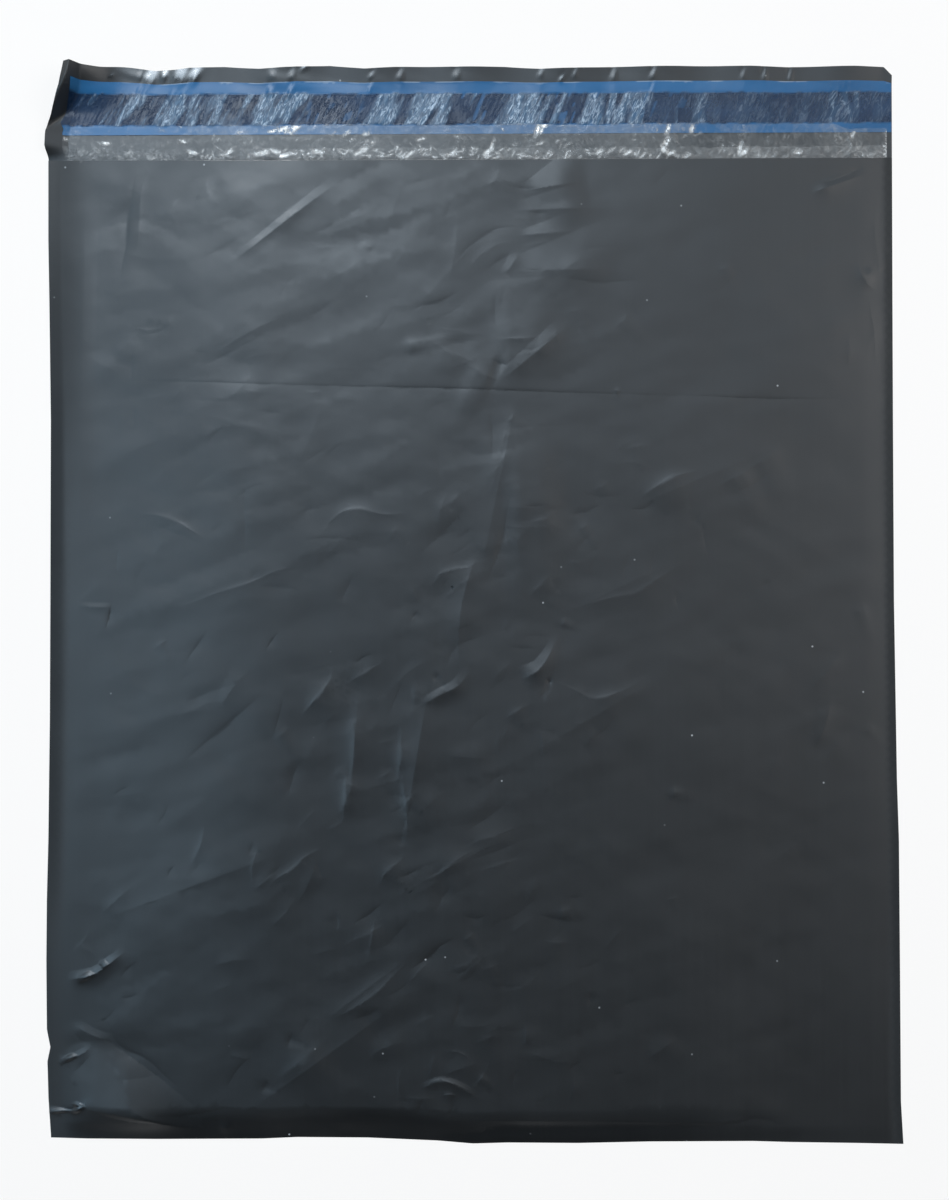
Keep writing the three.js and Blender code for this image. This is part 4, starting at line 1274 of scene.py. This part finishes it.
def make_adhesive():
    """The band of adhesive on the flap, a thin closed body."""
    us = spaced(GLUE_LEFT, GLUE_RIGHT, 1.4)
    vs = spaced(GLUE_FOOT, GLUE_TOP, 1.25)
    n, m = len(us), len(vs)
    gu, gv = np.meshgrid(us, vs)
    x, y, z = flap_point(gu, gv)
    edge = smooth(np.minimum(gu - GLUE_LEFT, GLUE_RIGHT - gu), 0, 0.8) \
        * smooth(np.minimum(gv - GLUE_FOOT, GLUE_TOP - gv), 0, 0.8)
    upper = np.column_stack((x.ravel(), y.ravel(), (z + GLUE_EDGE + GLUE_SWELL * edge).ravel()))
    lower = np.column_stack((x.ravel(), y.ravel(), (z + GLUE_UNDERSIDE).ravel()))
    faces = grid_faces(m, n)
    faces += [face[::-1] for face in grid_faces(m, n, n * m)]
    grid = np.arange(n * m).reshape(m, n)
    border = np.concatenate((grid[0], grid[1:, -1], grid[-1, -2::-1], grid[-2::-1, 0])).tolist()
    faces += band_faces([k + n * m for k in border], border)
    return make_piece("adhesive_band", np.vstack((upper, lower)), faces, GLUE)


# Lining

# Bright spots of the clear film, as facets() takes them: small flats that mirror the spark lamp, where the
# film is also painted whitish as a painted highlight
GLINTS = (
    (537, 130, 6, 2.2, 70, 1), (543, 126, 4, 2, 20, 1), (541, 131, 3, 1.2, 60, 1), (668, 129, 5, 2, 80, 1),
    (667, 141, 5, 2.6, 70, 1), (664, 148, 4, 2.2, -60, 1), (671, 152, 4, 1.8, 10, 1),
    (692, 129, 3.5, 2, 75, 1), (741, 147, 6, 2, 85, 1), (744, 151, 4, 2, 30, 1), (853, 134, 4, 1.6, 75, 1),
    (364, 149, 4, 2.4, 40, 1), (358, 153, 4, 1.6, 20, 1), (346, 134, 4, 1.5, 30, 1),
    (366, 134, 3.5, 1.6, 10, 1), (421, 139, 4, 1.4, 20, 1), (283, 129, 6, 2.2, 10, 1),
    (296, 127, 5, 2.6, 40, 1), (288, 132, 4, 1.5, -20, 1), (272, 131, 4, 1.4, 10, 1),
    (183, 141, 4, 1.3, -15, 1), (192, 152, 5, 1.4, -15, 1), (105, 143, 4, 1.3, 0, 1),
    (228, 152, 5, 1.7, 35, 1), (262, 153, 6, 2.2, 10, 1), (275, 151, 5, 1.8, -20, 1),
    (285, 155, 5, 1.8, 15, 1), (487, 152, 4, 2.0, 50, 1), (492, 145, 6, 1.3, 70, 1),
    (800, 150, 4, 1.2, 0, 1), (540, 143, 4, 1.2, 25, 1), (318, 152, 5, 1.6, -10, 1),
    (410, 154, 5, 1.4, 40, 1), (452, 153, 5, 1.4, 35, 1), (600, 151, 4, 1.2, 30, 1),
    (628, 152, 4, 1.2, 25, 1), (66, 139, 2, 1.6, 0, 1),
)


def small_glints():
    """Small bright facets strewn along the lips, close together on the front one, where the clear film is
    also painted whitish as a painted highlight.
    """
    dice = np.random.RandomState(17)
    glints = []
    for k in range(230):
        across = dice.uniform(66, 888)
        down = dice.uniform(148, 158) if k < 185 else dice.uniform(129, 147)
        half_length, half_width = dice.uniform(1.5, 4.5), dice.uniform(0.6, 0.95)
        gloss = 0.45 if 200 < across < 700 else 0.2
        glints.append((across, down, half_length, half_width, dice.normal(25, 30), gloss))
    glints += [(887, down, 1.6, 1.2, 20, 0.8) for down in range(131, 158, 4)]
    return tuple(glints)


SMALL_GLINTS = small_glints()


def lip_facets(x, y, level):
    """Height of the spots on a lip, and their brightness, where the clear film is painted whitish as a
    painted highlight.
    """
    height, bright = facets(x, y, GLINTS, level)
    small_height, small_bright = facets(x, y, SMALL_GLINTS, level)
    return np.maximum(0, height + small_height), np.maximum(bright, small_bright)


def lining_crinkle(x, y):
    """Fine sharp creases of the clear film."""
    slant = x + 0.8 * y
    broad = np.maximum(0, ridge(slant / 6.5, (y - 0.3 * x) / 5, 31))
    fine = np.maximum(0, ridge(slant / 2.6, (y - 0.5 * x) / 3.4, 32))
    return 0.55 * broad + 0.30 * fine


BACK_WALL = 0.12  # height of the lining's back wall inside the pouch
LIP_LEVEL = 0.16  # height of its back lip above the flap
STRIP_LEVEL = 0.36  # how much higher that lip is over the release film
FRONT_RUN = FRONT_LIP + MOUTH_DRAW * 0.6  # from the mouth to the front lip's free edge, along the film


def front_wall(rise):
    """Height of the lining's front wall, a little under a front panel that has swollen by rise."""
    return EDGE_LEVEL + rise - np.minimum(0.75, 0.05 + 0.4 * rise)


def make_lining():
    """Clear film folded at the bottom: back wall with its lip, and front wall with its lip."""
    us = spaced(LINING_LEFT, LINING_RIGHT, 0.42)
    n = len(us)
    rows = []
    haze = []
    # Share of painted highlight at each point: the clear film is painted whitish there
    painted_glint = []

    def add_row(x, y, z, cover, bright=0.0):
        rows.append(np.column_stack((x, y, z)))
        haze.append(np.broadcast_to(cover, us.shape))
        painted_glint.append(np.broadcast_to(bright, us.shape))

    # Lip of the back wall, from its free edge down to the mouth
    for v in spaced(0, BACK_LIP, 0.6)[::-1]:
        vv = np.full(n, v)
        x, y, z = flap_point(us, vv)
        edge = 0.35 * lump(us / 9, vv * 0, 33) + 0.2 * lump(us / 3, vv * 0, 34) - 2.4 * smooth(us, 150, 158)
        over_strip = smooth(v, STRIP_FOOT - 1.2, STRIP_FOOT - 0.1)
        lift = LIP_LEVEL + STRIP_LEVEL * over_strip
        rise, bright = lip_facets(x, y, AT_FLAP)
        lift = lift + lining_crinkle(x, y) * (0.95 - 0.5 * over_strip) * (1 - bright) + rise
        cover = 0.10 + 0.06 * lump(us / 14, vv / 6, 35) - 0.05 * (1 - smooth(us, -120, -100)) \
            + 0.07 * over_strip * smooth(us, -70, -50) * (1 - smooth(us, 40, 90))
        add_row(x, y + edge * smooth(v, BACK_LIP - 4, BACK_LIP), z + lift, cover, bright)
    # Back wall inside the pouch
    for y in (MOUTH - 6, MOUTH - 20, MOUTH - 120, BOTTOM + 120, BOTTOM + 20, LINING_BOTTOM + 1):
        x, yy = drift(us, np.full(n, y))
        add_row(x, yy, np.full(n, BACK_WALL), 0.22)
    # Front wall inside the pouch, under the front panel
    inside = np.concatenate(([LINING_BOTTOM, LINING_BOTTOM + 3, LINING_BOTTOM + 10],
                             np.linspace(BOTTOM + 30, MOUTH - 30, 10), np.linspace(MOUTH - 16, MOUTH, 9)))
    for y in inside:
        x, py, rise = panel_place(us, np.full(n, y))
        add_row(x, py, front_wall(rise), 0.25)
    # Lip of the front wall, crinkled and drooping over the mouth
    for v in spaced(0, FRONT_RUN, 0.33)[1:]:
        yy = np.full(n, MOUTH)
        rise = panel_rise(us, yy)
        draw = MOUTH_DRAW * rise / LOFT
        x, py = drift(us, yy - draw + v)
        edge = 0.45 * lump(us / 7, yy * 0, 36) + 0.25 * lump(us / 2.2, yy * 0, 37)
        out = v / FRONT_RUN
        z = front_wall(rise) - 0.5 * out ** 2 * np.minimum(1, rise)
        peak, bright = lip_facets(x, py, AT_LIP)
        z = z + lining_crinkle(x * 1.3, py * 1.3) * 1.2 * smooth(v, 0, 0.5) * (1 - bright) + peak
        cover = 0.09 + 0.05 * lump(us / 11, yy, 38) - 0.08 * (1 - smooth(us, -115, -85)) \
            + 0.04 * smooth(us, 85, 105) * (1 - smooth(us, 155, 168))
        add_row(x, py + edge * smooth(out, 0.5, 1), z, cover, bright)
    piece = make_piece("lining_film", np.vstack(rows), grid_faces(len(rows), n), CLEAR)
    mark(piece, "haze", np.vstack(haze))
    # Painted highlight: where these values are high the clear film is painted whitish
    mark(piece, "painted_glint", np.vstack(painted_glint))
    return piece


pouch = make_pouch()
lining = make_lining()
adhesive = make_adhesive()
release = make_release()

for piece, node, slot in ((pouch, "outer_pouch", "dark_film"), (lining, "inner_lining", "clear_film"),
                          (adhesive, "adhesive_strip", "adhesive"), (release, "release_strip", "blue_film")):
    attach(piece, "root")
    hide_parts(node)


# Floor, light and camera

FLOOR_REACH = 2.6  # metres from the middle to where the floor starts to curve up
FLOOR_CURVE = 1.2  # radius of that curve in metres
FLOOR_TURNS = 64  # points around the floor


def make_floor():
    """A wide pale floor that curves up into a backdrop far from the envelope."""
    profile = [(r, 0.0) for r in np.linspace(0.05, FLOOR_REACH, 18)]
    profile += [(FLOOR_REACH + FLOOR_CURVE * math.sin(a), FLOOR_CURVE - FLOOR_CURVE * math.cos(a))
                for a in np.linspace(0.12, math.pi / 2, 12)]
    turns = np.linspace(0, 2 * math.pi, FLOOR_TURNS, endpoint=False)
    points = [(0, 0, 0)]
    rings = []
    for r, z in profile:
        ring = list(range(len(points), len(points) + FLOOR_TURNS))
        rings.append(ring + ring[:1])
        points += [(r * math.cos(t), r * math.sin(t), z) for t in turns]
    faces = [[0, a, b] for a, b in zip(rings[0], rings[0][1:])]
    for inner, outer in zip(rings, rings[1:]):
        faces += [[inner[k], outer[k], outer[k + 1], inner[k + 1]] for k in range(FLOOR_TURNS)]
    material = bpy.data.materials.new("floor")
    material.use_nodes = True
    tree = material.node_tree
    tree.nodes.clear()
    out = add(tree, "ShaderNodeOutputMaterial")
    paint = add(tree, "ShaderNodeBsdfDiffuse", Color=(0.86, 0.82, 0.79, 1))
    glow = add(tree, "ShaderNodeEmission", Color=(1, 1, 1, 1), Strength=1.0)
    path = add(tree, "ShaderNodeLightPath").outputs
    seen = combine(tree, "MAXIMUM", path["Is Glossy Ray"], path["Is Transmission Ray"])
    seen = combine(tree, "MAXIMUM", path["Is Camera Ray"], seen)
    blend = add(tree, "ShaderNodeMixShader")
    link(tree, combine(tree, "MULTIPLY", seen, 0.8), blend.inputs[0])
    link(tree, paint.outputs[0], blend.inputs[1])
    link(tree, glow.outputs[0], blend.inputs[2])
    link(tree, blend.outputs[0], out.inputs["Surface"])
    return make_piece("floor", np.array(points) * 1000, faces, material)


make_floor()


def add_lamp(name, place, size, power, colour):
    """A soft lamp that faces the middle of the envelope, its place in millimetres and its size in metres."""
    data = bpy.data.lights.new(name, "AREA")
    data.shape = "RECTANGLE"
    data.size, data.size_y = size
    data.energy = power
    data.color = colour
    lamp = bpy.data.objects.new(name, data)
    lamp.location = [c / 1000 for c in place]
    x, y, z = place
    away = math.hypot(x, y)
    lamp.rotation_euler = (math.atan2(away, z), 0, math.atan2(x, -y))
    bpy.context.scene.collection.objects.link(lamp)


add_lamp("key", KEY_PLACE, (0.8, 0.5), 11.8, (0.86, 1.0, 1.12))
add_lamp("side", (-1100, 250, 1000), (0.9, 0.9), 4, (0.72, 1.0, 1.22))
add_lamp("low", (-760, -140, 1200), (0.6, 0.6), 2.2, (0.72, 1.0, 1.22))
add_lamp("fill", (1000, 230, 1100), (0.9, 0.9), 8.5, (1.04, 1.0, 0.97))
add_lamp("spark", SPARK_PLACE, (0.12, 0.12), 4.0, (1.0, 1.0, 1.0))

world = bpy.data.worlds.new("studio")
world.use_nodes = True
background = world.node_tree.nodes["Background"].inputs
background["Color"].default_value = (0.05, 0.05, 0.052, 1)
background["Strength"].default_value = 1.0
bpy.context.scene.world = world

SENSOR_HEIGHT = 24.0

camera_data = bpy.data.cameras.new("camera")
camera_data.sensor_fit = "VERTICAL"
camera_data.sensor_height = SENSOR_HEIGHT
camera_data.lens = SENSOR_HEIGHT / 2 / math.tan(math.radians(CAMERA_ANGLE) / 2)
camera_data.clip_start = 0.01
camera_data.clip_end = 50
camera = bpy.data.objects.new("camera", camera_data)
camera.location = [c / 1000 for c in CAMERA_PLACE]
camera.rotation_euler = [math.radians(t) for t in CAMERA_TURN]
bpy.context.scene.collection.objects.link(camera)
bpy.context.scene.camera = camera

bpy.context.scene.view_settings.view_transform = "Standard"
